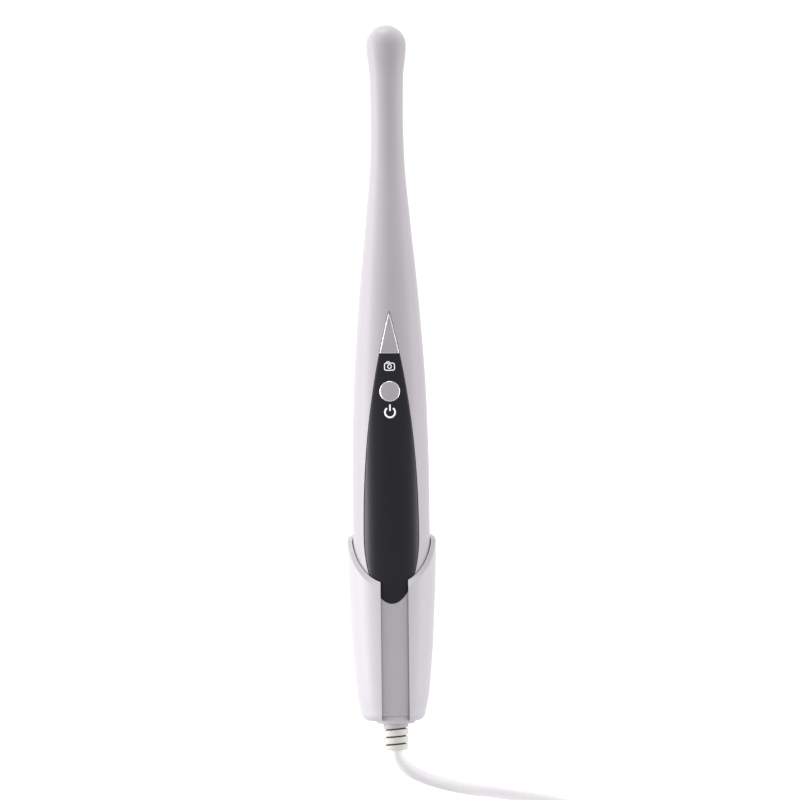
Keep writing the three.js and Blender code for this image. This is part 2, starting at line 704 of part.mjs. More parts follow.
// The space above the rim. From the side, the rim is cut level at the back and slanted at the front.
function aboveRim() {
  const [back, front] = [-HOLDER_BACK, halfDepth(RIM_FRONT) + HOLDER_CLEARANCE + HOLDER_WALL];
  const corner = new THREE.Vector2(RIM_SIDE, RIM_SIDE_HEIGHT);
  const backward = new THREE.Vector2(RIM_BACK, back).sub(corner);
  const forward = new THREE.Vector2(RIM_FRONT, front).sub(corner);
  const start = corner.clone().addScaledVector(backward, RIM_ROUND / backward.length());
  const end = corner.clone().addScaledVector(forward, RIM_ROUND / forward.length());
  const round = new THREE.QuadraticBezierCurve(start, corner, end).getPoints(5);
  const rim = [corner.clone().addScaledVector(backward, 2), ...round, corner.clone().addScaledVector(forward, 2)];
  const far = HOLDER_TOP + 5;
  const [low, high] = [rim[0].y, rim[rim.length - 1].y];
  return sideways(outline([...rim.map((point) => [point.x, point.y]), [far, high], [far, low]]), 60);
}

function holderShell() {
  const backLow = 4;
  const backHigh = RIM_BACK - 2;
  const back = prism(outline(roundedRectangle(BACK_WIDTH, backHigh - backLow, 4)), -HOLDER_BACK, 0);
  const outside = holderSolid(holderOutside, 0, HOLDER_CORNER);
  const inside = holderSolid(holderInside, HOLDER_FLOOR, HOLDER_CORNER - HOLDER_WALL);
  const slot = box(SLOT_WIDTH, 200, 40, EXIT_OFFSET, 0, 20);
  return outside
    .add(back.translate([0, (backLow + backHigh) / 2, 0]))
    .subtract(inside)
    .subtract(slot)
    .subtract(aboveRim())
    .subtract(atExit(turned(rod(COLLAR_RADIUS + HOLDER_CLEARANCE, -10, HOLDER_FLOOR + 1), ROUND)));
}

const holderPad = () => prism(outline(roundedRectangle(PAD_WIDTH, PAD_LENGTH, 2)), 0, PAD_THICKNESS - SEAT);

// ---------- Cable, coil, tie and plug ----------

const onTable = CABLE_RADIUS + SEAT; // the cable's middle line where it lies
// The free cable's route from the strain relief, as its middle line lies: down to the surface and
// round to the coil. Y counts from the strain relief's end.
const leadRoute = [
  [0, 0, AXIS_HEIGHT],
  [0.2, -1.8, 14.9],
  [1.7, -4.2, 14.4],
  [4.6, -6.7, 13.2],
  [9.4, -9.2, 10.9],
  [15.2, -11.1, 8],
  [22, -12.7, 5],
  [29.4, -13.9, 2.8],
  [37.5, -15.3, onTable],
  [46.5, -16.9, onTable],
  [55.4, -19.6, onTable],
  [63.4, -24.4, onTable],
  [69.4, -31.4, onTable],
  [72.2, -39.2, onTable],
  [72.9, -46.6, onTable],
  [72.8, -54.2, onTable],
];
// From the coil's top turn down to the plug's boot, in the part's frame.
const tailRoute = [
  [23.5, -122.1, 11.2],
  [17, -122.3, 8.9],
  [10.5, -122, 6.6],
  [4.2, -120.1, 4.9],
  [-0.6, -116.6, 4.1],
  [-2.8, -112.4, 3.95],
];
const bundleWidth = CABLE_DIAMETER * (COIL_TURNS_PER_LAYER + 1);
const bundleHeight = CABLE_DIAMETER * COIL_LAYERS;
const BUNDLE_CORNER = CABLE_RADIUS;
const TIE_FIT = 0.15;

// The tie passes under the coil, which lies on it at one side and on its own edge at the other.
function coilGroup() {
  const group = new THREE.Group();
  const angle = THREE.MathUtils.degToRad(TIE_ANGLE);
  const across = new THREE.Vector3(-Math.sin(angle), Math.cos(angle), 0);
  const lift = TIE_FIT + TIE_THICKNESS;
  const farEdge = COIL_RADIUS + bundleWidth / 2 - BUNDLE_CORNER;
  const tieEdge = COIL_RADIUS - bundleWidth / 2 + BUNDLE_CORNER;
  const tilt = Math.asin(lift / (farEdge + tieEdge));
  group.quaternion.setFromAxisAngle(across, -tilt);
  group.position.set(...COIL_MIDDLE, farEdge * Math.sin(tilt) + SEAT);
  return group;
}

// The coil's outer shape, grown by grow.
function coilRing(grow) {
  const [width, height] = [bundleWidth + 2 * grow, bundleHeight + 2 * grow];
  const section = roundedRectangle(width, height, BUNDLE_CORNER + grow, 2);
  const profile = section.map(([x, z]) => [COIL_RADIUS + x, bundleHeight / 2 + z]);
  return turnedUp([...profile, profile[0]], 0, 0, 32);
}

function coilTie() {
  const [length, height] = [bundleWidth + 10, bundleHeight + 10];
  const slice = new THREE.BoxGeometry(length, TIE_WIDTH, height).translate(COIL_RADIUS, 0, bundleHeight / 2);
  slice.rotateZ(THREE.MathUtils.degToRad(TIE_ANGLE));
  return coilRing(TIE_FIT + TIE_THICKNESS).subtract(coilRing(TIE_FIT)).intersect(solid(slice));
}

const plugMiddle = PLUG_BODY[2] / 2;
const bodyStart = PLUG_BOOT_START + BOOT_LENGTH;
const bodyEnd = bodyStart + PLUG_BODY[1];

function plugBoot() {
  const bore = CABLE_RADIUS + FIT;
  let boot = turned([
    [0, 0],
    [CABLE_RADIUS + 0.6, 0],
    [BOOT_RADIUS, BOOT_LENGTH],
    [0, BOOT_LENGTH],
  ]);
  boot = boot.subtract(turned(rod(bore, -1, BOOT_LENGTH / 2)));
  for (let i = 0; i < 4; i++) {
    const middle = 2 + i * 2.2;
    boot = boot.subtract(turned(tube(bore + 0.35, BOOT_RADIUS + 1, middle - 0.35, middle + 0.35)));
  }
  return boot;
}

function plugBody() {
  const geometry = new THREE.ExtrudeGeometry(outline(roundedRectangle(PLUG_BODY[0], PLUG_BODY[2], 2, 4)), {
    depth: PLUG_BODY[1] - SEAT,
    bevelEnabled: false,
  });
  return solid(geometry.rotateX(-Math.PI / 2).translate(0, SEAT, 0));
}

function plugShell() {
  const [width, length, height] = PLUG_SHELL;
  const cavity = box(width - 2 * PLUG_SHELL_WALL, length + 2, height - 2 * PLUG_SHELL_WALL, 0, length / 2 + 1, 0);
  let shell = box(width, length, height, 0, length / 2 + SEAT, 0).subtract(cavity);
  for (const side of [-1, 1]) shell = shell.subtract(box(2.2, 2.2, height + 2, side * 2.9, length * 0.55, 0));
  return shell;
}

function plugTongue() {
  const [width, length, height] = PLUG_SHELL;
  const across = width - 2 * PLUG_SHELL_WALL - 2 * FIT;
  const low = -height / 2 + PLUG_SHELL_WALL + FIT;
  return box(across, length - 2, TONGUE_THICKNESS, 0, length / 2 + FIT, low + TONGUE_THICKNESS / 2);
}

// ---------- Assembly ----------

const plastic = (color, roughness = 0.45) =>
  new THREE.MeshStandardMaterial({ color, roughness, metalness: 0 });
const metal = (color, roughness = 0.35) =>
  new THREE.MeshStandardMaterial({ color, roughness, metalness: 0.9 });
const housingWhite = plastic("#e9e6ea", 0.35);
const holderWhite = plastic("#f1f0f3", 0.4);
const panelDark = plastic("#2d2d31", 0.5);
const keySilver = metal("#b9b7bc");
const reliefCream = plastic("#e2dfd4", 0.6);
const cableWhite = plastic("#e8e6ea", 0.5);
const boardGreen = plastic("#1f5a3a", 0.5);
const chipBlack = plastic("#1b1b1d", 0.4);
const connectorWhite = plastic("#dedbd0", 0.5);
const bezelBlack = plastic("#151517", 0.3);
const ledYellow = plastic("#efe6a8", 0.3);
const ribbonAmber = plastic("#a9662a", 0.4);
const foamGrey = plastic("#8d8d90", 0.9);
const tieBlack = plastic("#232325", 0.7);
const brass = metal("#b89a55");
const steel = metal("#b4b4b8", 0.25);
const glass = new THREE.MeshStandardMaterial({ color: "#dfe8ea", roughness: 0.05, metalness: 0 });
const wireColours = ["#c23a32", "#e6e6e6", "#3f9a4d", "#26262a"].map((colour) => plastic(colour));

// Adds a solid to a group as a named mesh, at a place in that group.
function add(group, name, body, material, place = [0, 0, 0]) {
  const { vertProperties, triVerts } = body.getMesh();
  const geometry = new THREE.BufferGeometry();
  geometry.setAttribute("position", new THREE.BufferAttribute(vertProperties, 3));
  geometry.setIndex(new THREE.BufferAttribute(triVerts, 1));
  geometry.computeVertexNormals();
  const mesh = new THREE.Mesh(geometry, material);
  mesh.name = name;
  mesh.position.set(...place);
  group.add(mesh);
  return mesh;
}

function wand() {
  const group = new THREE.Group();
  group.position.set(0, -PAD_MIDDLE, AXIS_HEIGHT);
  add(group, "front_shell", frontShell(), housingWhite);
  add(group, "back_shell", backShell(), housingWhite);
  add(group, "control_panel", controlPanel(), panelDark);
  add(group, "capture_key", key(captureArea(0, FIT), CAPTURE_STEM), keySilver);
  add(group, "power_key", key(powerArea(0), POWER_KEY), keySilver);
  add(group, "capture_plunger", plunger(CAPTURE_STEM), chipBlack);
  add(group, "power_plunger", plunger(POWER_KEY), chipBlack);
  add(group, "capture_switch", keySwitch(CAPTURE_STEM), steel);
  add(group, "power_switch", keySwitch(POWER_KEY), steel);
  add(group, "key_board", keyBoard(), boardGreen);
  SCREW_PLACES.forEach((along, i) => add(group, "housing_screw_" + (i + 1), screw(along), steel));

  add(group, "window_bezel", windowBezel(), bezelBlack);
  add(group, "lens_window", atHead(rod(boreRadius - FIT, windowLow, windowLow + WINDOW_THICKNESS), ROUND), glass);
  const ledBoard = tube(BARREL_RADIUS + FIT, boreRadius - FIT, ledBoardLow, ledBoardLow + THIN_BOARD);
  add(group, "led_board", atHead(ledBoard), boardGreen);
  for (let i = 0; i < LED_COUNT; i++) add(group, "led_" + (i + 1), led(i), ledYellow);
  add(group, "lens_barrel", lensBarrel(), bezelBlack);
  add(group, "front_lens", frontLens(), glass);
  add(group, "image_sensor", sensorPlate(SENSOR_SIZE, sensorLow), chipBlack);
  add(group, "sensor_board", sensorPlate(SENSOR_BOARD_SIZE, sensorBoardLow), boardGreen);
  add(group, "camera_ribbon", ribbon(), ribbonAmber);

  add(group, "main_board", mainBoard(), boardGreen);
  add(group, "video_processor", onBoard(9, 9, 1.2, 59.5), chipBlack);
  add(group, "ribbon_connector", onBoard(...ribbonConnector, ribbonConnectorPlace), connectorWhite);
  add(group, "cable_header", onBoard(...header, headerPlace), connectorWhite);

  const exit = new THREE.Group();
  exit.position.set(EXIT_OFFSET, 0, 0);
  group.add(exit);
  add(exit, "tail_collar", tailCollar(), housingWhite);
  add(exit, "gland_nut", glandNut(), brass);
  add(exit, "strain_relief", strainRelief(), reliefCream);
  add(exit, "cable_end", cableEnd(), cableWhite);
  add(exit, "cable_clamp", cableClamp(), steel);
  wireColours.forEach((colour, i) => add(exit, "cable_wire_" + (i + 1), wire(i), colour));
  return group;
}

function holder() {
  const group = new THREE.Group();
  add(group, "holder_shell", holderShell(), holderWhite, [0, -PAD_MIDDLE, AXIS_HEIGHT]);
  add(group, "mounting_pad", holderPad(), foamGrey);
  return group;
}

function cable() {
  const group = new THREE.Group();
  const exitY = reliefEnd - PAD_MIDDLE;
  const section = circle(CABLE_RADIUS, 8);
  const lead = leadRoute.map(([x, y, z]) => [x + EXIT_OFFSET, y + exitY - SEAT, z]);
  add(group, "cable", swept(section, lead, 56), cableWhite);
  add(group, "cable_tail", swept(section, tailRoute, 14), cableWhite);

  const coiled = coilGroup();
  group.add(coiled);
  add(coiled, "cable_coil", coilRing(0), cableWhite);
  add(coiled, "coil_tie", coilTie(), tieBlack);

  const plug = new THREE.Group();
  plug.position.set(PLUG_X, bodyStart, plugMiddle);
  group.add(plug);
  add(plug, "plug_boot", plugBoot(), cableWhite, [0, -BOOT_LENGTH, 0]);
  add(plug, "plug_body", plugBody(), cableWhite);
  add(plug, "plug_shell", plugShell(), steel, [0, PLUG_BODY[1], 0]);
  add(plug, "plug_tongue", plugTongue(), connectorWhite, [0, PLUG_BODY[1], 0]);
  return group;
}

const camera = new THREE.Group();
camera.add(wand(), holder(), cable());
export default camera;
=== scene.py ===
"""An intraoral camera in its slotted holder, with its coiled cable and USB plug.

Shapes are worked out in millimetres in the object's own frame: +X to the right, +Y along the wand
towards the camera head, +Z up out of the side with the keys. "along" counts from the holder's foot.
"""
import math

import bmesh
import bpy
from mathutils import Matrix, Vector


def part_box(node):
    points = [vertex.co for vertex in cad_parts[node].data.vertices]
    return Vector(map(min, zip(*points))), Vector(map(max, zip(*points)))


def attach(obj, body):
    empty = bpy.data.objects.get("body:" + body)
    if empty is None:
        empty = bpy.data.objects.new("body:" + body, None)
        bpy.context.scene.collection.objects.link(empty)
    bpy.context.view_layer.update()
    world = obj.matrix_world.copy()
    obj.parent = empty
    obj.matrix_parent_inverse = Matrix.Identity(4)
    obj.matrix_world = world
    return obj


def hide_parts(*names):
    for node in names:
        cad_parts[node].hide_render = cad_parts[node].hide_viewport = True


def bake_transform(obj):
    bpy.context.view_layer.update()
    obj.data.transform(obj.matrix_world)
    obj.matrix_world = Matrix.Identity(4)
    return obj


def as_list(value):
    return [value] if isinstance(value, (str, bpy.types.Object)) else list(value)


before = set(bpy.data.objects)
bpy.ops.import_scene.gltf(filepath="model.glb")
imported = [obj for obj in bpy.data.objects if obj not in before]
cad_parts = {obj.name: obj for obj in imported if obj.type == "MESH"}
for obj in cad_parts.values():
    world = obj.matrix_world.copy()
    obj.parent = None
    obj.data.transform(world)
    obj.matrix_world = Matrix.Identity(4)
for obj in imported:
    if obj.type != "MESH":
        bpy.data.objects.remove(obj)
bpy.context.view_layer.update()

MM = 0.001
SCENE = bpy.context.scene


# ---------- Sizes ----------

def corners(node):
    """The lowest and highest corners of a CAD node, in millimetres."""
    low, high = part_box(node)
    return low / MM, high / MM


def half_across(node):
    low, high = corners(node)
    return (high.x - low.x) / 2


# The wand, stretch by stretch from its tail to its tip
TAIL_LENGTH = 52
GRIP_LENGTH = 43
TAPER_LENGTH = 74
NECK_LENGTH = 32.8
HEAD_ROUND = 6
TIP_SHARE = 0.985  # of the quarter turn over the tip, which ends in a small flat
TAIL_WIDTH = 14.6
HANDLE_WIDTH = 22.8
NECK_WIDTH = 9.7
HEAD_WIDTH = 11.9
HANDLE_DEPTH = 21.6
NECK_DEPTH = 9.2
HEAD_DEPTH = 10.2
TAIL_EDGE = 0.8
HANDLE_WALL = 2
NECK_WALL = 1.2
SEAM = 0.1
FIT = 0.15
GAP = 0.3
FAR = 60  # further out than anything that the cutting shapes cut
SCREW_PLACES = (43, 76)  # along
SCREW_BORE = 1.15
SCREW_HEAD_BORE = 1.9
SCREW_HEAD_HEIGHT = 1.05
BOSS_RADIUS = 3.1

# Control panel and keys
PANEL_WIDTH = 16.2
PANEL_BOTTOM = 35.2
PANEL_WIDEST = 55
PANEL_TIP = 121.9
PANEL_POINT = 2.15
PANEL_THICKNESS = 0.9
CAPTURE_BASE = 109.2
POWER_KEY = 98
POWER_RADIUS = 3.05
KEY_PROUD = 0.3
KEY_THICKNESS = 0.9
KEY_TRAVEL = 0.4
PANEL_FLOOR = PANEL_THICKNESS + 0.05
KEY_RECESS = KEY_THICKNESS - KEY_PROUD + KEY_TRAVEL + GAP
KEY_TIP = PANEL_TIP - 0.35  # the point is blunted
KEY_STEM_RADIUS = 1.3
KEY_FOOT_RADIUS = 2.2
KEY_FOOT_HEIGHT = 0.6
CAPTURE_STEM = 113
CAMERA_SIGN = 105.5  # along
POWER_SIGN = 91.9  # along
PRINT_HEIGHT = 0.03
PRINT_SINK = 0.02
# Edges in steps, as (distance inside the outline, height over the wand's front)
PANEL_LEVELS = [(0, -PANEL_THICKNESS), (0, -0.16), (0.04, -0.06), (0.12, -0.01), (0.2, 0)]
KEY_STEPS = [(0, 0.04), (0.03, 0.13), (0.1, 0.22), (0.2, 0.28), (0.3, KEY_PROUD)]
KEY_LEVELS = [(0, KEY_PROUD - KEY_THICKNESS), *KEY_STEPS]
KEY_EDGE_LEVELS = (1, 2, 3, 4)

# Holder
HOLDER_CLEARANCE = 0.35
HOLDER_WALL = 1.4
HOLDER_FLOOR = 1.3
HOLDER_CORNER = 2.6
SLOT_WIDTH = 8.2
RIM_FRONT = 39.2
RIM_SIDE = 53.8
RIM_SIDE_HEIGHT = 1
RIM_BACK = 57
RIM_ROUND = 5
RIM_EDGE = 0.8
HOLDER_EDGE = 0.22
HOLDER_TOP = 65  # along, where the uncut holder ends
HOLDER_SIDES = 128
HOLDER_BACK = 14
BACK_WIDTH = 17
BACK_START = 4  # along
BACK_CORNER = 4

# Collar, strain relief and camera head
COLLAR_RADIUS = 5.8
COLLAR_LIP = 2.4
COLLAR_STEP = 1.8
SPIGOT_RADIUS = COLLAR_RADIUS - COLLAR_STEP
RELIEF_RADIUS = 3.7
RELIEF_NECK = RELIEF_RADIUS - 0.4
RELIEF_SLOTS = 3
RELIEF_FIRST_SLOT = 1.6
RELIEF_SLOT_PITCH = 2.25
RELIEF_SLOT = 0.5
RELIEF_WALL = 1.05
RELIEF_SLANT = math.radians(-5)
BEZEL_WALL = 0.7
BEZEL_LIP = 0.4
LED_COUNT = 6
BARREL_THREADS = 14
THREAD_DEPTH = 0.07
LENS_RISE = 0.35

# Cable and coil
CABLE_DIAMETER = 3.8
CABLE_RADIUS = CABLE_DIAMETER / 2
ON_TABLE = CABLE_RADIUS + 0.05  # the cable's middle line where it lies
COIL_MIDDLE = (39, -90)
COIL_RADIUS = 22.8
TIE_ANGLE = math.radians(130)
TIE_WIDTH = 6
TIE_THICKNESS = 0.7
TIE_FIT = 0.15
TIE_EDGE = 0.12
COLUMNS = 5
LAYERS = 4
STEPS_PER_TURN = 24
CROSSING = 0.2  # the last share of a turn, in which it moves over to the next one's place
BUNDLE_WIDTH = COLUMNS * CABLE_DIAMETER
BUNDLE_HEIGHT = LAYERS * CABLE_DIAMETER
BUNDLE_CORNER = CABLE_RADIUS

# Plug
BOOT_NECK = CABLE_RADIUS + 0.6
BOOT_GROOVES = 4
BOOT_FIRST_GROOVE = 1.65
BOOT_GROOVE_PITCH = 2.2
BOOT_GROOVE = 0.7
BOOT_GROOVE_FLOOR = CABLE_RADIUS + FIT + 0.35  # radius
PLUG_CORNER = 2
PLUG_ROUND = [(0, 0.7), (0.1, 0.4), (0.3, 0.14), (0.7, 0)]  # (distance from the end, inset)
GRIP_GROOVES = 6
GRIP_PITCH = 2
GRIP_GROOVE = (5, 0.35, 0.3)  # half of its size
SHELL_THICKNESS = 0.4
LATCH_PLACE = 2.9
LATCH = 1.1
FOLD = 0.06
CONTACT_PITCH = 2.3
CONTACT = (0.5, 0.6, 0.3, 0.06)  # half width, distance from the end, depth, height over the carrier

# Places that follow from them, and from the frame
GRIP_START = TAIL_LENGTH
TAPER_START = GRIP_START + GRIP_LENGTH
NECK_START = TAPER_START + TAPER_LENGTH
HEAD_MIDDLE = NECK_START + NECK_LENGTH
BEND_START = TAPER_START + 5
TAIL_END = HOLDER_FLOOR + GAP
WAND_Y = corners("front_shell")[0].y - TAIL_END
EXIT = (corners("cable_end")[0] + corners("cable_end")[1]) / 2
EXIT_X = EXIT.x
AXIS_HEIGHT = EXIT.z
RELIEF_END = corners("strain_relief")[0].y
NECK_DROP = AXIS_HEIGHT - HEAD_DEPTH / 2 - 0.25


# ---------- Curves ----------

def between(low, high, share):
    return low + (high - low) * share


def ease(share):
    t = min(1, max(0, share))
    return t * t * (3 - 2 * t)


def smooth_curve(knots):
    """A smooth curve through (x, y) knots that never overshoots them and is level at its last knot."""
    rise = [(b[1] - a[1]) / (b[0] - a[0]) for a, b in zip(knots, knots[1:])]
    slope = [rise[0]]
    for a, b in zip(rise, rise[1:]):
        slope.append(0 if a * b <= 0 else 2 * a * b / (a + b))
    slope.append(0)

    def curve(x):
        i = 0
        while i < len(knots) - 2 and x >= knots[i + 1][0]:
            i += 1
        (x0, y0), (x1, y1) = knots[i], knots[i + 1]
        step = x1 - x0
        t = (min(x1, max(x0, x)) - x0) / step
        return (
            y0 * (1 + 2 * t) * (1 - t) ** 2
            + slope[i] * step * t * (1 - t) ** 2
            + y1 * t * t * (3 - 2 * t)
            + slope[i + 1] * step * t * t * (t - 1)
        )

    return curve


def spline(points, spacing):
    """Points about a spacing apart on a centripetal Catmull-Rom curve through the given ones."""
    points = [Vector(p) for p in points]
    ends = [2 * points[0] - points[1], *points, 2 * points[-1] - points[-2]]
    line = []
    for a, b, c, d in zip(ends, ends[1:], ends[2:], ends[3:]):
        before, here, after = ((q - p).length ** 0.5 for p, q in ((a, b), (b, c), (c, d)))
        start = ((b - a) / before - (c - a) / (before + here) + (c - b) / here) * here
        end = ((c - b) / here - (d - b) / (here + after) + (d - c) / after) * here
        bend = 3 * (c - b) - 2 * start - end
        twist = 2 * (b - c) + start + end
        steps = max(1, math.ceil((c - b).length / spacing))
        for i in range(steps):
            t = i / steps
            line.append(b + start * t + bend * t**2 + twist * t**3)
    line.append(points[-1])
    return line


# ---------- Mesh helpers ----------

WELD_DISTANCE = 0.003
POLE_RADIUS = 0.001  # of a turned profile where it meets the axis


def new_object(name, vertices, faces, *materials):
    """A mesh object from vertices in millimetres. Its faces all have its first material."""
    mesh = bpy.data.meshes.new(name)
    mesh.from_pydata([Vector(v) * MM for v in vertices], [], faces)
    mesh.validate()
    for material in materials:
        mesh.materials.append(material)
    piece = bpy.data.objects.new(name, mesh)
    SCENE.collection.objects.link(piece)
    return piece


def ring_faces(rings, sides):
    """Quads between neighbouring rings of vertices."""
    faces = []
    for i in range(rings - 1):
        for j in range(sides):
            a, b = i * sides + j, i * sides + (j + 1) % sides
            faces.append((a, b, b + sides, a + sides))
    return faces


def loft(name, rings, *materials, loop=False):
    """Rings of points joined into one skin, with flat ends, or with the last ring joined to the first."""
    sides = len(rings[0])
    vertices = [p for ring in rings for p in ring]
    faces = ring_faces(len(rings), sides)
    last = (len(rings) - 1) * sides
    if loop:
        faces += [(last + j, last + (j + 1) % sides, (j + 1) % sides, j) for j in range(sides)]
    else:
        faces += [tuple(reversed(range(sides))), tuple(range(last, last + sides))]
    piece = new_object(name, vertices, faces, *materials)
    face_out(piece)
    return piece


def face_out(piece):
    """Turns all faces outwards."""
    bpy.context.view_layer.objects.active = piece
    bpy.ops.object.select_all(action="DESELECT")
    piece.select_set(True)
    bpy.ops.object.mode_set(mode="EDIT")
    bpy.ops.mesh.select_all(action="SELECT")
    bpy.ops.mesh.normals_make_consistent(inside=False)
    bpy.ops.object.mode_set(mode="OBJECT")


def circle_at(radius, sides, place, direction="Y", start=0):
    """A ring of points round a place, across +Y or +Z."""
    ring = []
    for j in range(sides):
        angle = start + 2 * math.pi * j / sides
        u, v = radius * math.sin(angle), radius * math.cos(angle)
        offset = Vector((u, 0, v)) if direction == "Y" else Vector((v, u, 0))
        ring.append(Vector(place) + offset)
    return ring


def turned(name, profile, sides, place, *materials, direction="Y", loop=False):
    """A profile of (radius, distance) points turned round an axis through a place."""
    step = Vector((0, 1, 0)) if direction == "Y" else Vector((0, 0, 1))
    rings = []
    for radius, distance in profile:
        rings.append(circle_at(max(radius, POLE_RADIUS), sides, Vector(place) + step * distance, direction))
    return loft(name, rings, *materials, loop=loop)


def upright(name, profile, sides, along, *materials, loop=False):
    """A profile turned round an upright axis through the wand."""
    return turned(name, profile, sides, (0, WAND_Y + along, 0), *materials, direction="Z", loop=loop)


def on_exit(name, profile, sides, *materials, loop=False):
    """A profile turned round the cable's axis at the wand's tail."""
    return turned(name, profile, sides, (EXIT_X, 0, AXIS_HEIGHT), *materials, loop=loop)


def rod(radius, low, high):
    """The profile of a plain rod."""
    return [(0, low), (radius, low), (radius, high), (0, high)]


def block(name, low, high, *materials):
    low, high = Vector(low), Vector(high)
    outline = [(low.x, low.y), (high.x, low.y), (high.x, high.y), (low.x, high.y)]
    return prism(name, outline, low.z, high.z, *materials)


def prism(name, outline, low, high, *materials):
    """An outline of (x, y) points as a solid from one height to another."""
    return loft(name, [[(x, y, z) for x, y in outline] for z in (low, high)], *materials)


def settle(piece):
    """Applies a piece's modifiers."""
    bpy.context.view_layer.update()
    settled = bpy.data.meshes.new_from_object(piece.evaluated_get(bpy.context.evaluated_depsgraph_get()))
    piece.modifiers.clear()
    old, piece.data = piece.data, settled
    bpy.data.meshes.remove(old)
    return piece


def carve(piece, tool, operation="DIFFERENCE"):
    """Cuts a piece with a tool, joins it to it, or keeps what they share. The tool is used up."""
    modifier = piece.modifiers.new("carve", "BOOLEAN")
    modifier.operation = operation
    modifier.object = tool
    modifier.solver = "EXACT"
    settle(piece)
    bpy.data.objects.remove(tool)
    return piece


def weld(piece):
    """Merges vertices that lie on each other and drops faces without area."""
    mesh = bmesh.new()
    mesh.from_mesh(piece.data)
    bmesh.ops.remove_doubles(mesh, verts=mesh.verts, dist=WELD_DISTANCE * MM)
    bmesh.ops.dissolve_degenerate(mesh, edges=mesh.edges, dist=WELD_DISTANCE * MM)
    mesh.to_mesh(piece.data)
    mesh.free()


def smooth(piece, angle):
    """Smooth shading, with edges sharper than an angle kept crisp."""
    weld(piece)
    piece.data.shade_smooth()
    piece.data.set_sharp_from_angle(angle=math.radians(angle))


def bevel(piece, width, segments=2, angle=40):
    """Rounds the edges that are sharper than an angle."""
    modifier = piece.modifiers.new("bevel", "BEVEL")
    modifier.width = width * MM
    modifier.segments = segments
    modifier.limit_method = "ANGLE"
    modifier.angle_limit = math.radians(angle)
    return settle(piece)


def rounded_rectangle(width, height, radius, corner_steps=6):
    points = []
    for corner, (sx, sy) in enumerate([(1, 1), (-1, 1), (-1, -1), (1, -1)]):
        for i in range(corner_steps + 1):
            angle = (corner + i / corner_steps) * math.pi / 2
            x = sx * (width / 2 - radius) + radius * math.cos(angle)
            y = sy * (height / 2 - radius) + radius * math.sin(angle)
            points.append((x, y))
    return points


def join(name, pieces):
    """Several pieces as one object."""
    bpy.ops.object.select_all(action="DESELECT")
    for piece in pieces:
        piece.select_set(True)
    bpy.context.view_layer.objects.active = pieces[0]
    bpy.ops.object.join()
    pieces[0].name = name
    return pieces[0]


def corner_curve(start, corner, end, steps):
    """Points on a curve from start to end that bends at the corner between them."""
    points = []
    for i in range(steps + 1):
        t = i / steps
        points.append(start * (1 - t) ** 2 + corner * 2 * t * (1 - t) + end * t**2)
    return points


def round_corner(points, index, radius, steps=4):
    """A profile with one of its corners rounded."""
    a, b, c = (Vector(points[i]) for i in (index - 1, index, index + 1))
    start, end = b + (a - b).normalized() * radius, b + (c - b).normalized() * radius
    return points[:index] + [tuple(p) for p in corner_curve(start, b, end, steps)] + points[index + 1:]


def finish_piece(piece, angle, body, slot, *nodes):
    """Shades a piece, if it has an angle. Names what it rides on, and hides the CAD nodes it replaces.
    The slot is not used."""
    if angle:
        smooth(piece, angle)
    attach(piece, body)
    if nodes:
        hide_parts(*nodes)
    return piece


# ---------- Materials ----------

def node_tree(name, values):
    """A new material, with values on its shader's sockets."""
    material = bpy.data.materials.new(name)
    material.use_nodes = True
    tree = material.node_tree
    shader = tree.nodes["Principled BSDF"]
    set_sockets(shader, values)
    return material, tree, shader


def set_sockets(node, values):
    for socket, value in values.items():
        node.inputs[socket].default_value = value


def add_node(tree, kind, values, source=None, socket="Vector"):
    """A node with values on its sockets, and a source linked to one of them."""
    node = tree.nodes.new("ShaderNode" + kind)
    set_sockets(node, values)
    if source is not None:
        tree.links.new(source, node.inputs[socket])
    return node


def object_space(tree):
    return add_node(tree, "TexCoord", {}).outputs["Object"]


def add_noise(tree, scale, detail=4.0, roughness=0.55, stretch=(1, 1, 1)):
    """A noise texture in the object's own space, with its coordinates stretched."""
    mapping = add_node(tree, "Mapping", {"Scale": stretch}, object_space(tree))
    values = {"Scale": scale, "Detail": detail, "Roughness": roughness}
    return add_node(tree, "TexNoise", values, mapping.outputs["Vector"]).outputs["Fac"]


def add_range(tree, source, low, high):
    """A source value from 0.3 to 0.7, spread from low to high."""
    values = {"From Min": 0.3, "From Max": 0.7, "To Min": low, "To Max": high}
    return add_node(tree, "MapRange", values, source, "Value").outputs["Result"]


def add_tint(tree, factor, colour, other):
    """A colour that turns into another one with a factor."""
    mix = tree.nodes.new("ShaderNodeMix")
    mix.data_type = "RGBA"
    mix.inputs[6].default_value = (*colour, 1)
    mix.inputs[7].default_value = (*other, 1)
    tree.links.new(factor, mix.inputs[0])
    return mix.outputs[2]


def add_bump(tree, shader, source, distance):
    bump = add_node(tree, "Bump", {"Distance": distance * MM, "Strength": 1}, source, "Height")
    tree.links.new(bump.outputs["Normal"], shader.inputs["Normal"])


def moulded(
    name, colour, roughness, grain=1500, depth=0.004, shade=0.96, metallic=0.0, stretch=(1, 1, 1), painted_glow=0.0
):
    """Moulded, rubber or metal stock: clouded colour, uneven polish and a fine surface grain, with an
    optional painted glow that gives off light of its own.
    """
    values = {"Metallic": metallic, "Emission Color": (*colour, 1), "Emission Strength": painted_glow}
    material, tree, shader = node_tree(name, values)
    clouds = add_noise(tree, 45, 3.0, 0.5, stretch)
    fine = add_noise(tree, grain, 3.0, 0.6, stretch)
    tint = add_tint(tree, add_range(tree, clouds, 0, 1), colour, [c * shade for c in colour])
    tree.links.new(tint, shader.inputs["Base Color"])
    polish = add_range(tree, fine, roughness * 0.88, roughness * 1.12)
    tree.links.new(polish, shader.inputs["Roughness"])
    add_bump(tree, shader, fine, depth)
    return material


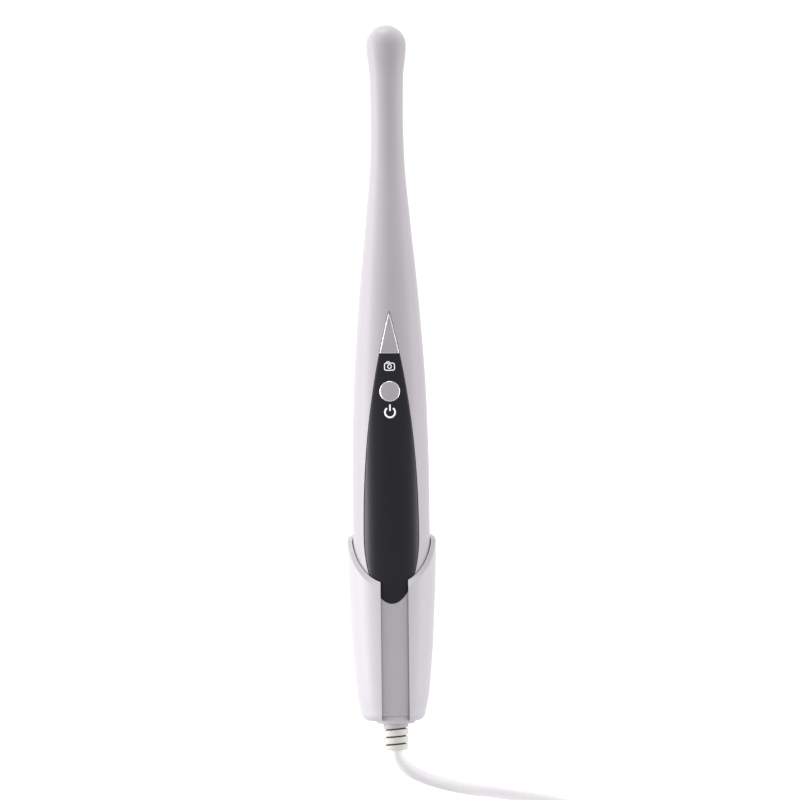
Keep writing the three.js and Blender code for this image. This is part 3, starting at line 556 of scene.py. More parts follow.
def circuit_board(name):
    """Green solder mask over copper tracks, with plated pads."""
    material, tree, shader = node_tree(name, {})
    values = {
        "Scale": 420,
        "Mortar Size": 0.035,
        "Color1": (0.012, 0.11, 0.045, 1),
        "Color2": (0.016, 0.14, 0.06, 1),
        "Mortar": (0.05, 0.26, 0.11, 1),
    }
    tracks = add_node(tree, "TexBrick", values, object_space(tree))
    tree.links.new(tracks.outputs["Color"], shader.inputs["Base Color"])
    tree.links.new(add_range(tree, tracks.outputs["Fac"], 0.3, 0.42), shader.inputs["Roughness"])
    add_bump(tree, shader, tracks.outputs["Fac"], 0.03)
    return material


def clear_glass(name, colour=(0.93, 0.97, 0.98)):
    material, tree, shader = node_tree(name, {"Transmission Weight": 1, "IOR": 1.5})
    haze = add_noise(tree, 300)
    tree.links.new(add_range(tree, haze, 0.01, 0.05), shader.inputs["Roughness"])
    tint = add_tint(tree, haze, colour, [c * 0.98 for c in colour])
    tree.links.new(tint, shader.inputs["Base Color"])
    return material


def hook_and_loop(name):
    """A woven band with a fuzzy pile."""
    values = {"Sheen Weight": 0.5, "Sheen Roughness": 0.5, "Roughness": 0.9}
    material, tree, shader = node_tree(name, values)
    pile = add_noise(tree, 2600, 5.0, 0.75)
    tint = add_tint(tree, add_range(tree, pile, 0, 1), (0.012, 0.012, 0.014), (0.05, 0.05, 0.055))
    tree.links.new(tint, shader.inputs["Base Color"])
    add_bump(tree, shader, pile, 0.12)
    return material


def foam(name):
    material, tree, shader = node_tree(name, {"Roughness": 0.95})
    cells = add_node(tree, "TexVoronoi", {"Scale": 1600}, object_space(tree)).outputs["Distance"]
    tint = add_tint(tree, cells, (0.2, 0.2, 0.205), (0.3, 0.3, 0.305))
    tree.links.new(tint, shader.inputs["Base Color"])
    add_bump(tree, shader, cells, 0.08)
    return material


TURNED = (1, 12, 1)  # the grain's stretch
HOUSING = moulded("housing_white", (0.56, 0.53, 0.562), 0.46, grain=2600, depth=0.002, shade=0.985)
HOLDER = moulded("holder_white", (0.625, 0.605, 0.638), 0.44, grain=2200, depth=0.003, shade=0.985)
PANEL = moulded("panel_grey", (0.0055, 0.005, 0.011), 0.36, grain=3200, depth=0.002, shade=0.9)
KEY_TOP = moulded("key_satin", (0.70, 0.685, 0.71), 0.36, grain=2800, depth=0.002, metallic=0.9)
KEY_EDGE = moulded("key_polished_edge", (0.95, 0.94, 0.95), 0.3, depth=0.001, metallic=0.7)
# The white print has a painted glow: it gives off some light of its own and stays bright under any lamp.
GLOWING_PRINT = moulded("white_print_painted_glow", (0.90, 0.90, 0.92), 0.5, grain=4000, depth=0.001, painted_glow=0.42)
RELIEF = moulded("relief_ivory", (0.76, 0.74, 0.69), 0.55, grain=1800, depth=0.006)
COLLAR = moulded("collar_grey", (0.56, 0.54, 0.545), 0.5, grain=1800, depth=0.005)
# Near-black for the floors of the relief's slots: painted shade in the slots, not a dark part of the relief.
PAINTED_SLOT_SHADE = moulded("painted_slot_shade", (0.06, 0.055, 0.05), 0.7, grain=1800, depth=0.005)
JACKET = moulded("cable_jacket", (0.95, 0.93, 0.95), 0.42, grain=1400, depth=0.006)
PLUG = moulded("plug_moulding", (0.84, 0.83, 0.85), 0.48, grain=1500, depth=0.008)
BLACK = moulded("black_moulding", (0.014, 0.014, 0.016), 0.24, grain=2600, depth=0.002, shade=0.8)
CHIP = moulded("chip_package", (0.018, 0.018, 0.02), 0.5, grain=3500, depth=0.01, shade=0.8)
NYLON = moulded("natural_nylon", (0.78, 0.75, 0.66), 0.45, grain=1500, depth=0.004)
STEEL = moulded("nickel_plate", (0.60, 0.60, 0.62), 0.25, grain=900, depth=0.002, metallic=1, stretch=TURNED)
BRASS = moulded("turned_brass", (0.62, 0.42, 0.15), 0.28, grain=900, depth=0.003, metallic=1, stretch=TURNED)
GOLD = moulded("gold_contact", (0.83, 0.58, 0.22), 0.2, grain=1500, depth=0.001, metallic=1)
PHOSPHOR = moulded("lamp_phosphor", (0.88, 0.72, 0.16), 0.3, grain=3000, depth=0.003)
FILM = moulded("polyimide_film", (0.42, 0.16, 0.03), 0.3, grain=900, depth=0.002, stretch=(14, 1, 1))
BOARD = circuit_board("green_board")
GLASS = clear_glass("clear_glass")
LENS = clear_glass("lens_glass", (0.80, 0.90, 0.97))
BAND = hook_and_loop("tie_band")
FOAM = foam("mounting_foam")
WIRES = [
    moulded("wire_" + name, colour, 0.4, grain=1500, depth=0.003)
    for name, colour in [
        ("red", (0.45, 0.03, 0.025)),
        ("white", (0.75, 0.75, 0.75)),
        ("green", (0.04, 0.30, 0.07)),
        ("black", (0.015, 0.015, 0.017)),
    ]
]


# ---------- Camera and light ----------

VIEW_WIDTH = 238.4  # of the plane through the wand's axis
CAMERA_HEIGHT = 1600
CAMERA_ACROSS = 3.0
CAMERA_ALONG = 95.4
SENSOR = 36
CAMERA_ROLL = math.radians(0.65)
FLOOR_GLOW = 0.9
DOME_STRENGTH = 0.528


def make_camera():
    lens = bpy.data.cameras.new("camera")
    lens.sensor_width = SENSOR
    lens.lens = SENSOR * (CAMERA_HEIGHT - AXIS_HEIGHT) / VIEW_WIDTH
    lens.clip_end = 10
    camera = bpy.data.objects.new("camera", lens)
    SCENE.collection.objects.link(camera)
    camera.location = Vector((CAMERA_ACROSS, WAND_Y + CAMERA_ALONG, CAMERA_HEIGHT)) * MM
    camera.rotation_euler = (0, 0, -CAMERA_ROLL)
    SCENE.camera = camera


def make_light(name, place, target, size, power):
    lamp = bpy.data.lights.new(name, "AREA")
    lamp.shape = "RECTANGLE"
    lamp.size, lamp.size_y = (side * MM for side in size)
    lamp.energy = power
    light = bpy.data.objects.new(name, lamp)
    SCENE.collection.objects.link(light)
    light.location = Vector(place) * MM
    direction = Vector(target) - Vector(place)
    light.rotation_euler = direction.to_track_quat("-Z", "Y").to_euler()
    light.visible_camera = False
    return light


def make_studio():
    """A white table and a pale dome, with soft boxes on three sides and a weak one above."""
    floor = block("floor", (-1500, -1500, -4), (1500, 1500, 0))
    values = {
        "Base Color": (0.3, 0.3, 0.3, 1),
        "Roughness": 0.8,
        "Specular IOR Level": 0,
        "Emission Color": (1, 1, 1, 1),
        "Emission Strength": FLOOR_GLOW,
    }
    floor.data.materials.append(node_tree("floor_white", values)[0])

    world = bpy.data.worlds.new("studio")
    world.use_nodes = True
    dome = {"Color": (1, 0.985, 1, 1), "Strength": DOME_STRENGTH}
    set_sockets(world.node_tree.nodes["Background"], dome)
    SCENE.world = world

    make_light("left_soft_box", (-420, 60, 70), (0, 60, 12), (460, 140), 1.5)
    make_light("right_soft_box", (420, 60, 50), (0, 60, 12), (420, 90), 0.56)
    make_light("far_soft_box", (-40, 520, 60), (0, 60, 12), (200, 60), 0.75)
    low = make_light("low_soft_box", (16, -32, 140), (8, -30, 10), (90, 50), 0.034)
    low.visible_glossy = False
    SCENE.view_settings.view_transform = "Standard"


make_camera()
make_studio()


# ---------- Cable ----------

# The free cable's middle line from the strain relief to the coil, from the relief's end.
LEAD = [
    (0, -0.05, 15),
    (0.2, -1.8, 14.9),
    (1.7, -4.2, 14.4),
    (4.6, -6.7, 13.2),
    (9.4, -9.2, 10.9),
    (15.2, -11.1, 8),
    (22, -12.7, 5),
    (29.4, -13.9, 2.8),
    (37.5, -15.3, ON_TABLE),
    (46.5, -16.9, ON_TABLE),
    (55.4, -19.6, ON_TABLE),
    (63.4, -24.4, ON_TABLE),
    (69.4, -31.4, ON_TABLE),
    (72.2, -39.2, ON_TABLE),
    (72.9, -46.6, ON_TABLE),
    (72.8, -54.2, ON_TABLE),
]
# From the coil's top turn down to the plug's boot.
TAIL = [
    (23.5, -122.1, 11.2),
    (17, -122.3, 8.9),
    (10.5, -122, 6.6),
    (4.2, -120.1, 4.9),
    (-0.6, -116.6, 4.1),
    (-2.8, -112.4, 3.95),
    (-3, -110, 3.95),
]
# The coil's turns in order, as (column from the inside, layer from the bottom).
TURNS = (
    [(column, 0) for column in (4, 3, 2, 1, 0)]
    + [(column, 1) for column in (0, 1, 2, 3, 4)]
    + [(column, 2) for column in (4, 3, 2)]
    + [(column, 3) for column in (2, 3, 4)]
)


def coil_matrix():
    """The coil lies on its tie at one side, and on its own edge at the other."""
    across = Vector((-math.sin(TIE_ANGLE), math.cos(TIE_ANGLE), 0))
    far_edge = COIL_RADIUS + BUNDLE_WIDTH / 2 - BUNDLE_CORNER
    tie_edge = COIL_RADIUS - BUNDLE_WIDTH / 2 + BUNDLE_CORNER
    tilt = math.asin((TIE_FIT + TIE_THICKNESS) / (far_edge + tie_edge))
    place = Vector((*COIL_MIDDLE, far_edge * math.sin(tilt) + 0.05))
    return Matrix.Translation(place) @ Matrix.Rotation(-tilt, 4, across)


COIL = coil_matrix()


def column_radius(column):
    return COIL_RADIUS + (column - (COLUMNS - 1) / 2) * CABLE_DIAMETER


def coil_points():
    """The coil's middle line. Each turn moves over to the next one's place at its end."""
    meeting = math.radians(-35)  # where the lead has come in beside the other turns
    places = TURNS + [TURNS[-1]]
    lead_end = Vector(LEAD[-1]) + Vector((EXIT_X, RELIEF_END, 0))
    lead_radius = (lead_end - Vector((*COIL_MIDDLE, 0))).xy.length
    points = []
    for i in range(1, 4):
        share = i / 4
        radius = between(lead_radius, column_radius(4), ease(share))
        points.append((radius, meeting * share, CABLE_RADIUS))
    for i in range(len(TURNS) * STEPS_PER_TURN + 5):
        turn, step = divmod(i, STEPS_PER_TURN)
        column, layer = places[turn]
        next_column, next_layer = places[min(turn + 1, len(TURNS))]
        move = ease((step / STEPS_PER_TURN - (1 - CROSSING)) / CROSSING)
        radius = between(column_radius(column), column_radius(next_column), move)
        height = CABLE_RADIUS + between(layer, next_layer, move) * CABLE_DIAMETER
        points.append((radius, meeting - 2 * math.pi * i / STEPS_PER_TURN, height))
    return [COIL @ Vector((r * math.cos(a), r * math.sin(a), z)) for r, a, z in points]


def tube(name, line, radius, sides, *materials):
    """A round tube along a line of points, with its rings kept from twisting."""
    up = Vector((0, 0, 1))
    rings = []
    for i, point in enumerate(line):
        direction = (line[min(i + 1, len(line) - 1)] - line[max(i - 1, 0)]).normalized()
        side = direction.cross(up).normalized()
        up = side.cross(direction).normalized()
        ring = []
        for j in range(sides):
            angle = 2 * math.pi * j / sides
            ring.append(point + radius * (math.cos(angle) * side + math.sin(angle) * up))
        rings.append(ring)
    return loft(name, rings, *materials)


def make_cable():
    exit_point = Vector((EXIT_X, RELIEF_END, 0))
    lead = [Vector(p) + exit_point for p in LEAD]
    inside = lead[0] + Vector((0, 4, 0))  # the jacket goes on into the relief's bore
    fine = spline([inside, *lead[:5]], 0.35)[:-1]
    line = fine + spline([*lead[4:], *coil_points(), *[Vector(p) for p in TAIL]], 1.4)
    cable = tube("usb_cable", line, CABLE_RADIUS - 0.01, 20, JACKET)
    smooth(cable, 50)
    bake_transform(cable)
    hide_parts("cable", "cable_tail", "cable_coil", "cable_end")
    return cable, lead[0], line


# ---------- Plug and tie ----------

def node_frame(node):
    """A CAD node's lowest and highest corners, and its middle."""
    low, high = corners(node)
    return low, high, (low + high) / 2


def make_boot():
    """The plug's ribbed boot."""
    low, high, middle = node_frame("plug_boot")
    wide = (high.x - low.x) / 2
    length = high.y - low.y
    bore = CABLE_RADIUS + FIT
    profile = [(0, length / 2), (bore, length / 2), (bore, 0), (BOOT_NECK, 0)]
    for i in range(BOOT_GROOVES):
        start = BOOT_FIRST_GROOVE + i * BOOT_GROOVE_PITCH
        end = start + BOOT_GROOVE
        before, after = (between(BOOT_NECK, wide, place / length) for place in (start, end))
        profile += [(before, start), (BOOT_GROOVE_FLOOR, start), (BOOT_GROOVE_FLOOR, end), (after, end)]
    profile += [(wide, length), (0, length)]
    profile = round_corner(profile, 3, 0.4)
    boot = turned("ribbed_boot", profile, 64, (middle.x, low.y, middle.z), PLUG)
    bevel(boot, 0.1)
    return finish_piece(boot, 40, "holder", "jacket", "plug_boot")


def make_plug_body():
    """The plug's overmoulding, with grip grooves across both wide faces."""
    low, high, middle = node_frame("plug_body")
    width, height = high.x - low.x, high.z - low.z
    rings = [(low.y + y, inset) for y, inset in PLUG_ROUND]
    rings += [(high.y - y, inset) for y, inset in reversed(PLUG_ROUND)]
    skin = []
    for y, inset in rings:
        outline = rounded_rectangle(width - 2 * inset, height - 2 * inset, PLUG_CORNER - inset, 8)
        skin.append([(middle.x + x, y, middle.z + z) for x, z in outline])
    body = loft("plug_overmould", skin, PLUG)
    half_x, half_y, half_z = GRIP_GROOVE
    for i in range(GRIP_GROOVES):
        y = middle.y + (i - (GRIP_GROOVES - 1) / 2) * GRIP_PITCH
        for side in (-1, 1):
            z = middle.z + side * height / 2
            foot = (middle.x - half_x, y - half_y, z - half_z)
            carve(body, block("grip", foot, (middle.x + half_x, y + half_y, z + half_z)))
    bevel(body, 0.12, angle=50)
    return finish_piece(body, 35, "holder", "jacket", "plug_body")


def make_plug_shell():
    """The folded metal shell, with its latch windows and the seam of the fold."""
    low, high, middle = node_frame("plug_shell")
    width, height, length = high.x - low.x, high.z - low.z, high.y - low.y
    rings = []
    for inset in (0, SHELL_THICKNESS):
        outline = rounded_rectangle(width - 2 * inset, height - 2 * inset, 0.7 - inset * 0.9, 5)
        rings.append([(middle.x + x, middle.z + z) for x, z in outline])
    outer, inner = rings
    skin = [
        [(x, low.y, z) for x, z in outer],
        [(x, high.y - 0.12, z) for x, z in outer],
        [(between(a[0], b[0], 0.35), high.y, between(a[1], b[1], 0.35)) for a, b in zip(outer, inner)],
        [(x, high.y, z) for x, z in inner],
        [(x, low.y + SHELL_THICKNESS, z) for x, z in inner],
    ]
    shell = loft("plug_shield", skin, STEEL)
    y = low.y + length * 0.55
    for side in (-1, 1):
        x = middle.x + side * LATCH_PLACE
        carve(shell, block("latch", (x - LATCH, y - LATCH, low.z - 1), (x + LATCH, y + LATCH, high.z + 1)))
    fold_low = (middle.x - FOLD, low.y + 0.5, low.z - 1)
    fold_high = (middle.x + FOLD, high.y + 1, low.z + SHELL_THICKNESS / 2)
    carve(shell, block("fold", fold_low, fold_high))
    return finish_piece(shell, 30, "holder", "steel", "plug_shell")


def make_tongue():
    """The contact carrier, with its four gold contacts."""
    low, high, middle = node_frame("plug_tongue")
    half, end, depth, proud = CONTACT
    carrier = block("carrier", low, high, NYLON)
    bevel(carrier, 0.15)
    parts = [carrier]
    for i, length in enumerate((8, 7, 7, 8)):
        x = middle.x + (i - 1.5) * CONTACT_PITCH
        foot = (x - half, high.y - end - length, high.z - depth)
        contact = block("contact", foot, (x + half, high.y - end, high.z + proud), GOLD)
        bevel(contact, 0.05)
        parts.append(contact)
    return finish_piece(join("contact_carrier", parts), 30, "holder", "connector", "plug_tongue")


def make_tie():
    """The hook-and-loop band round the coil."""
    inner, outer = TIE_FIT, TIE_FIT + TIE_THICKNESS
    turn = Matrix.Rotation(TIE_ANGLE, 4, "Z")
    half, edge = TIE_WIDTH / 2, TIE_EDGE
    loops = [(-half, outer - edge), (edge - half, outer), (half - edge, outer), (half, outer - edge)]
    loops += [(half, inner + edge), (half - edge, inner), (edge - half, inner), (-half, inner + edge)]
    skin = []
    for y, grow in loops:
        width, height = BUNDLE_WIDTH + 2 * grow, BUNDLE_HEIGHT + 2 * grow
        ring = []
        for x, z in rounded_rectangle(width, height, BUNDLE_CORNER + grow, 8):
            # the band follows the coil's own curve across its width
            reach = math.sqrt(max(0.01, (COIL_RADIUS + x) ** 2 - y**2))
            ring.append(COIL @ (turn @ Vector((reach, y, BUNDLE_HEIGHT / 2 + z))))
        skin.append(ring)
    band = loft("hook_and_loop_tie", skin, BAND, loop=True)
    return finish_piece(band, 40, "holder", "tie", "coil_tie")


def declare_cord(cable, start, line, pieces):
    [p * MM for p in line]
    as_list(pieces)


on_cable = [make_boot(), make_plug_body(), make_plug_shell(), make_tongue(), make_tie()]
declare_cord(*make_cable(), on_cable)

# ---------- The wand's shape ----------

HANDLE_RATIO = HANDLE_DEPTH / HANDLE_WIDTH
STATIONS = [
    (0, TAIL_WIDTH),
    (TAIL_LENGTH * 0.17, between(TAIL_WIDTH, HANDLE_WIDTH, 0.43)),
    (TAIL_LENGTH * 0.58, between(TAIL_WIDTH, HANDLE_WIDTH, 0.82)),
    (GRIP_START, HANDLE_WIDTH),
    (GRIP_START + GRIP_LENGTH * 0.45, HANDLE_WIDTH),
    (TAPER_START, between(NECK_WIDTH, HANDLE_WIDTH, 0.92)),
    (TAPER_START + TAPER_LENGTH * 0.41, between(NECK_WIDTH, HANDLE_WIDTH, 0.62)),
    (TAPER_START + TAPER_LENGTH * 0.73, between(NECK_WIDTH, HANDLE_WIDTH, 0.275)),
    (NECK_START, between(NECK_WIDTH, HANDLE_WIDTH, 0.03)),
    (NECK_START + NECK_LENGTH * 0.33, NECK_WIDTH),
    (NECK_START + NECK_LENGTH * 0.7, between(NECK_WIDTH, HEAD_WIDTH, 0.18)),
    (HEAD_MIDDLE, HEAD_WIDTH),
]
half_width = smooth_curve([(along, width / 2) for along, width in STATIONS])
depth_share = smooth_curve(
    [
        (0, HANDLE_RATIO),
        (TAPER_START, HANDLE_RATIO),
        (NECK_START, NECK_DEPTH / NECK_WIDTH),
        (NECK_START + NECK_LENGTH / 2, NECK_DEPTH / NECK_WIDTH),
        (HEAD_MIDDLE, HEAD_DEPTH / HEAD_WIDTH),
    ]
)


def half_depth(along):
    return half_width(along) * depth_share(along)


def middle_height(along):
    """The height of the wand's middle line, which bends down to the head."""
    return AXIS_HEIGHT - NECK_DROP * ease((along - BEND_START) / (HEAD_MIDDLE - BEND_START))


def wall(along):
    return between(HANDLE_WALL, NECK_WALL, ease((along - TAPER_START) / TAPER_LENGTH))


def front_height(x, along):
    """The height of the wand's front surface over a place."""
    across = min(1, abs(x) / half_width(along))
    return middle_height(along) + half_depth(along) * math.sqrt(1 - across**2)


def oval_ring(reach, along, height, flatten, sides):
    """A ring across the wand, round a middle at a height."""
    ring = []
    for j in range(sides):
        angle = 2 * math.pi * j / sides
        ring.append((reach * math.sin(angle), WAND_Y + along, height + reach * math.cos(angle) * flatten))
    return ring


def edge_round(radius, edge, low, angles):
    """A rounded lower edge, as (radius, along) points."""
    return [(radius - edge * (1 - math.sin(a)), low + edge * (1 - math.cos(a))) for a in angles]


def wand_body(name, inset, sides, spacing, *materials):
    """The wand as a solid whose surface lies inset(along) inside the true one."""
    start = TAIL_END + max(0, inset(TAIL_END))
    low = start + TAIL_EDGE
    angles = [i / 6 * math.pi / 2 for i in range(6)]
    profile = edge_round(half_width(low) - inset(low), TAIL_EDGE, start, angles)
    steps = math.ceil((HEAD_MIDDLE - start - TAIL_EDGE) / spacing)
    for i in range(steps):
        along = between(low, HEAD_MIDDLE, i / steps)
        profile.append((half_width(along) - inset(along), along))
    tip_radius, tip_length = half_width(HEAD_MIDDLE) - inset(HEAD_MIDDLE), HEAD_ROUND - inset(HEAD_MIDDLE)
    for i in range(15):
        angle = i / 14 * math.pi / 2 * TIP_SHARE
        profile.append((tip_radius * math.cos(angle), HEAD_MIDDLE + tip_length * math.sin(angle)))
    rings = []
    for radius, along in profile:
        place = min(along, HEAD_MIDDLE)
        flatten = (half_depth(place) - inset(place)) / (half_width(place) - inset(place))
        rings.append(oval_ring(radius, along, middle_height(place), flatten, sides))
    return loft(name, rings, *materials)


def across(name, side):
    """A shape seen from the side, as (y, z) points, right across the wand."""
    return loft(name, [[(x, y, z) for y, z in side] for x in (-FAR / 2, FAR / 2)])


def above_seam(lift):
    """Everything above the seam between the housing's halves, raised by lift."""
    seam = [(-FAR, AXIS_HEIGHT)]
    steps = 90
    for i in range(steps + 1):
        along = between(0, HEAD_MIDDLE, i / steps)
        seam.append((along, middle_height(along)))
    seam.append((HEAD_MIDDLE + FAR, middle_height(HEAD_MIDDLE)))
    side = [(WAND_Y + along, height + lift) for along, height in seam]
    side += [(WAND_Y + HEAD_MIDDLE + FAR, FAR), (WAND_Y - FAR, FAR)]
    return across("above_seam", side)


# ---------- Pieces let into the wand's front ----------

def panel_edge(along, grow=0):
    """Half the width of the control panel's outline, with the capture key's point on top of it."""
    half = PANEL_WIDTH / 2
    if along < PANEL_WIDEST:
        share = (PANEL_WIDEST - along) / (PANEL_WIDEST - PANEL_BOTTOM + grow)
        return (half + grow) * math.sqrt(max(0, 1 - share**2))
    upper = PANEL_TIP - PANEL_WIDEST
    tall = upper + grow / math.sin(math.atan(half * PANEL_POINT / upper))
    share = min(1, (along - PANEL_WIDEST) / tall)
    return (half + grow) * (1 - share**PANEL_POINT)


def panel_outline(low, high, grow=0):
    """The outline between two places along the wand, closer where it turns more."""
    places = []
    start = max(low, PANEL_WIDEST)
    if low < PANEL_WIDEST:
        steps = 40
        places.append(low)
        for i in range(1, steps):
            angle = i / steps * math.pi / 2
            places.append(PANEL_WIDEST - (PANEL_WIDEST - low) * math.cos(angle))
    steps = 44
    places += [between(start, high, i / steps) for i in range(steps + 1)]
    right = [(panel_edge(along, grow), along) for along in places]
    left = [(-x, along) for x, along in reversed(right) if x > 0.001]
    return [(max(x, 0), along) for x, along in right] + left


def shrink(outline, distance):
    """An outline moved inwards by a distance, with its corners kept sharp."""
    moved = []
    for i, point in enumerate(outline):
        here = Vector(point)
        back, ahead = here - Vector(outline[i - 1]), Vector(outline[(i + 1) % len(outline)]) - here
        back.normalize()
        ahead.normalize()
        normal = Vector((-back.y - ahead.y, back.x + ahead.x)).normalized()
        mitre = max(0.35, normal.dot(Vector((-back.y, back.x))))
        moved.append(tuple(here + normal * distance / mitre))
    return moved


def inlay(name, outline, levels, *materials, edge_levels=(), fill_steps=9):
    """A slab that follows the wand's front. Levels are (distance inside the outline, height over the front),
    from the bottom up. The faces that start at an edge level have the second material."""
    count = len(outline)
    middle = Vector((sum(x for x, _ in outline) / count, sum(y for _, y in outline) / count))
    vertices = []

    def add_ring(points, height):
        for x, along in points:
            vertices.append((x, WAND_Y + along, front_height(x, along) + height))

    rings = [(shrink(outline, inset) if inset else outline, height) for inset, height in levels]
    for points, height in rings:
        add_ring(points, height)
    faces = ring_faces(len(rings), count)
    walls = len(faces)
    top = (len(rings) - 1) * count
    for start, (points, height) in ((top, rings[-1]), (0, rings[0])):
        # rings that close in on the middle
        links = [start]
        for step in range(1, fill_steps):
            share = 1 - step / fill_steps
            links.append(len(vertices))
            add_ring([tuple(middle + (Vector(p) - middle) * share) for p in points], height)
        pole = len(vertices)
        vertices.append((middle.x, WAND_Y + middle.y, front_height(*middle) + height))
        for a, b in zip(links, links[1:]):
            for j in range(count):
                after = (j + 1) % count
                faces.append((a + j, a + after, b + after, b + j))
        faces += [(links[-1] + j, links[-1] + (j + 1) % count, pole) for j in range(count)]
    piece = new_object(name, vertices, faces, *materials)
    for i in range(walls):
        if i // count in edge_levels:
            piece.data.polygons[i].material_index = 1
    face_out(piece)
    return piece


def round_outline(radius, along, sides=72):
    points = []
    for j in range(sides):
        angle = 2 * math.pi * j / sides
        points.append((radius * math.cos(angle), along + radius * math.sin(angle)))
    return points


def make_panel():
    outline = panel_outline(PANEL_BOTTOM, CAPTURE_BASE - FIT)
    panel = inlay("control_panel_inlay", outline, PANEL_LEVELS, PANEL, fill_steps=16)
    carve(panel, inlay("key_hole", round_outline(POWER_RADIUS + FIT, POWER_KEY), [(0, -2), (0, 1)]))
    finish_piece(panel, 30, "wand", "panel", "control_panel")


def make_key(name, outline, stem, node):
    """A silver key with a polished edge, and its stem down to the switch's plunger."""
    cap = inlay(name, outline, KEY_LEVELS, KEY_TOP, KEY_EDGE, edge_levels=KEY_EDGE_LEVELS)
    foot = corners(node)[0].z
    step = foot + KEY_FOOT_HEIGHT
    top = front_height(0, stem) - KEY_THICKNESS + KEY_PROUD + 0.1
    profile = [(0, foot), (KEY_FOOT_RADIUS, foot), (KEY_FOOT_RADIUS, step)]
    profile += [(KEY_STEM_RADIUS, step), (KEY_STEM_RADIUS, top), (0, top)]
    carve(cap, upright("stem", profile, 32, stem, KEY_TOP), "UNION")
    finish_piece(cap, 30, node, "keys", node)


def make_keys():
    make_key("capture_key_cap", panel_outline(CAPTURE_BASE, KEY_TIP), CAPTURE_STEM, "capture_key")
    make_key("power_key_cap", round_outline(POWER_RADIUS, POWER_KEY), POWER_KEY, "power_key")


# ---------- Printed symbols ----------

def stroke(name, points, width, closed=False):
    """A printed line of an even width on the panel, through (x, along) points."""
    count = len(points)
    left, right = [], []
    for i, point in enumerate(points):
        here = Vector(point)
        before = Vector(points[i - 1]) if closed or i > 0 else here
        after = Vector(points[(i + 1) % count]) if closed or i < count - 1 else here
        direction = (after - before).normalized()
        normal = Vector((-direction.y, direction.x)) * width / 2
        left.append(here + normal)
        right.append(here - normal)
    rings = []
    for a, b in zip(left, right):
        ring = [(a, -PRINT_SINK), (b, -PRINT_SINK), (b, PRINT_HEIGHT), (a, PRINT_HEIGHT)]
        rings.append([(p.x, WAND_Y + p.y, front_height(p.x, p.y) + height) for p, height in ring])
    return loft(name, rings, GLOWING_PRINT, loop=closed)


def arc(radius, start, end, middle, steps=40):
    """Points on an arc between two angles in degrees, from the top and to the right."""
    points = []
    for i in range(steps + 1):
        angle = math.radians(between(start, end, i / steps))
        points.append((middle[0] + radius * math.sin(angle), middle[1] + radius * math.cos(angle)))
    return points


def make_signs():
    """A plain camera with a flower-like lens, and the usual on/off ring with a bar."""
    middle = (0, CAMERA_SIGN - 0.15)
    frame_line = [(x, CAMERA_SIGN - 0.2 + y) for x, y in rounded_rectangle(2.95, 2.1, 0.5, 5)]
    hump = [(-1.0, 0.95), (-0.75, 1.3), (-0.15, 1.3), (0.1, 0.95)]
    parts = [
        stroke("frame", frame_line, 0.27, closed=True),
        stroke("hump", [(x, CAMERA_SIGN + y) for x, y in hump], 0.22),
        stroke("lens", arc(0.58, 0, 351, middle), 0.22, closed=True),
    ]
    for i in range(4):
        angle = math.radians(45 + 90 * i)
        direction = Vector((math.sin(angle), math.cos(angle)))
        parts.append(stroke("petal", [Vector(middle) + direction * reach for reach in (0.3, 0.5)], 0.13))
    ring = stroke("ring", arc(1.5, 36, 324, (0, POWER_SIGN - 0.1)), 0.5)
    bar = stroke("bar", [(0, POWER_SIGN + y) for y in (0.3, 1.25, 2.2)], 0.48)
    for sign in (join("camera_sign", parts), join("power_sign", [ring, bar])):
        finish_piece(sign, 0, "wand", "panel")


# ---------- Housing ----------

def screw_boss(along, low, high):
    """A screw's column, as far as the wand's skin. The start angle keeps its corners off the shell's."""
    place = Vector((0, WAND_Y + along, 0))
    rings = [circle_at(BOSS_RADIUS, 36, place + Vector((0, 0, z)), "Z", start=0.04) for z in (low, high)]
    return carve(loft("boss", rings), wand_body("skin", lambda a: HANDLE_WALL / 2, 64, 4), "INTERSECT")


def tail_bore():
    low, high = corners("tail_collar")
    return on_exit("tail_bore", rod(SPIGOT_RADIUS + FIT, low.y - 3, high.y), 48)


def hollow_wand(name):
    shell = wand_body(name, lambda along: 0, 112, 1.6, HOUSING)
    carve(shell, wand_body("inside", wall, 56, 4))
    return carve(shell, tail_bore())


def make_front_shell():
    shell = hollow_wand("front_housing")
    for along in SCREW_PLACES:
        carve(shell, screw_boss(along, AXIS_HEIGHT - 0.5, 40), "UNION")
    carve(shell, above_seam(SEAM / 2), "INTERSECT")
    recess = panel_outline(PANEL_BOTTOM - FIT, KEY_TIP + FIT, FIT)
    carve(shell, inlay("recess", recess, [(0, -PANEL_FLOOR), (0, 2)]))
    capture = panel_outline(CAPTURE_BASE - FIT, KEY_TIP + FIT, FIT)
    for outline in (capture, round_outline(POWER_RADIUS + FIT, POWER_KEY)):
        carve(shell, inlay("well", outline, [(0, -KEY_RECESS), (0, 2)]))
    for along in (CAPTURE_STEM, POWER_KEY):
        place = (0, WAND_Y + along, AXIS_HEIGHT)
        carve(shell, turned("stem_hole", rod(KEY_STEM_RADIUS + GAP, 0, FAR), 32, place, direction="Z"))
    for i, along in enumerate(SCREW_PLACES):
        seat = corners("housing_screw_%d" % (i + 1))[1].z - SCREW_HEAD_HEIGHT
        profile = [(0, -5), (SCREW_BORE, -5), (SCREW_BORE, seat)]
        profile += [(SCREW_HEAD_BORE, seat), (SCREW_HEAD_BORE, FAR), (0, FAR)]
        carve(shell, upright("screw_hole", profile, 32, along))
    finish_piece(shell, 30, "wand", "housing", "front_shell")


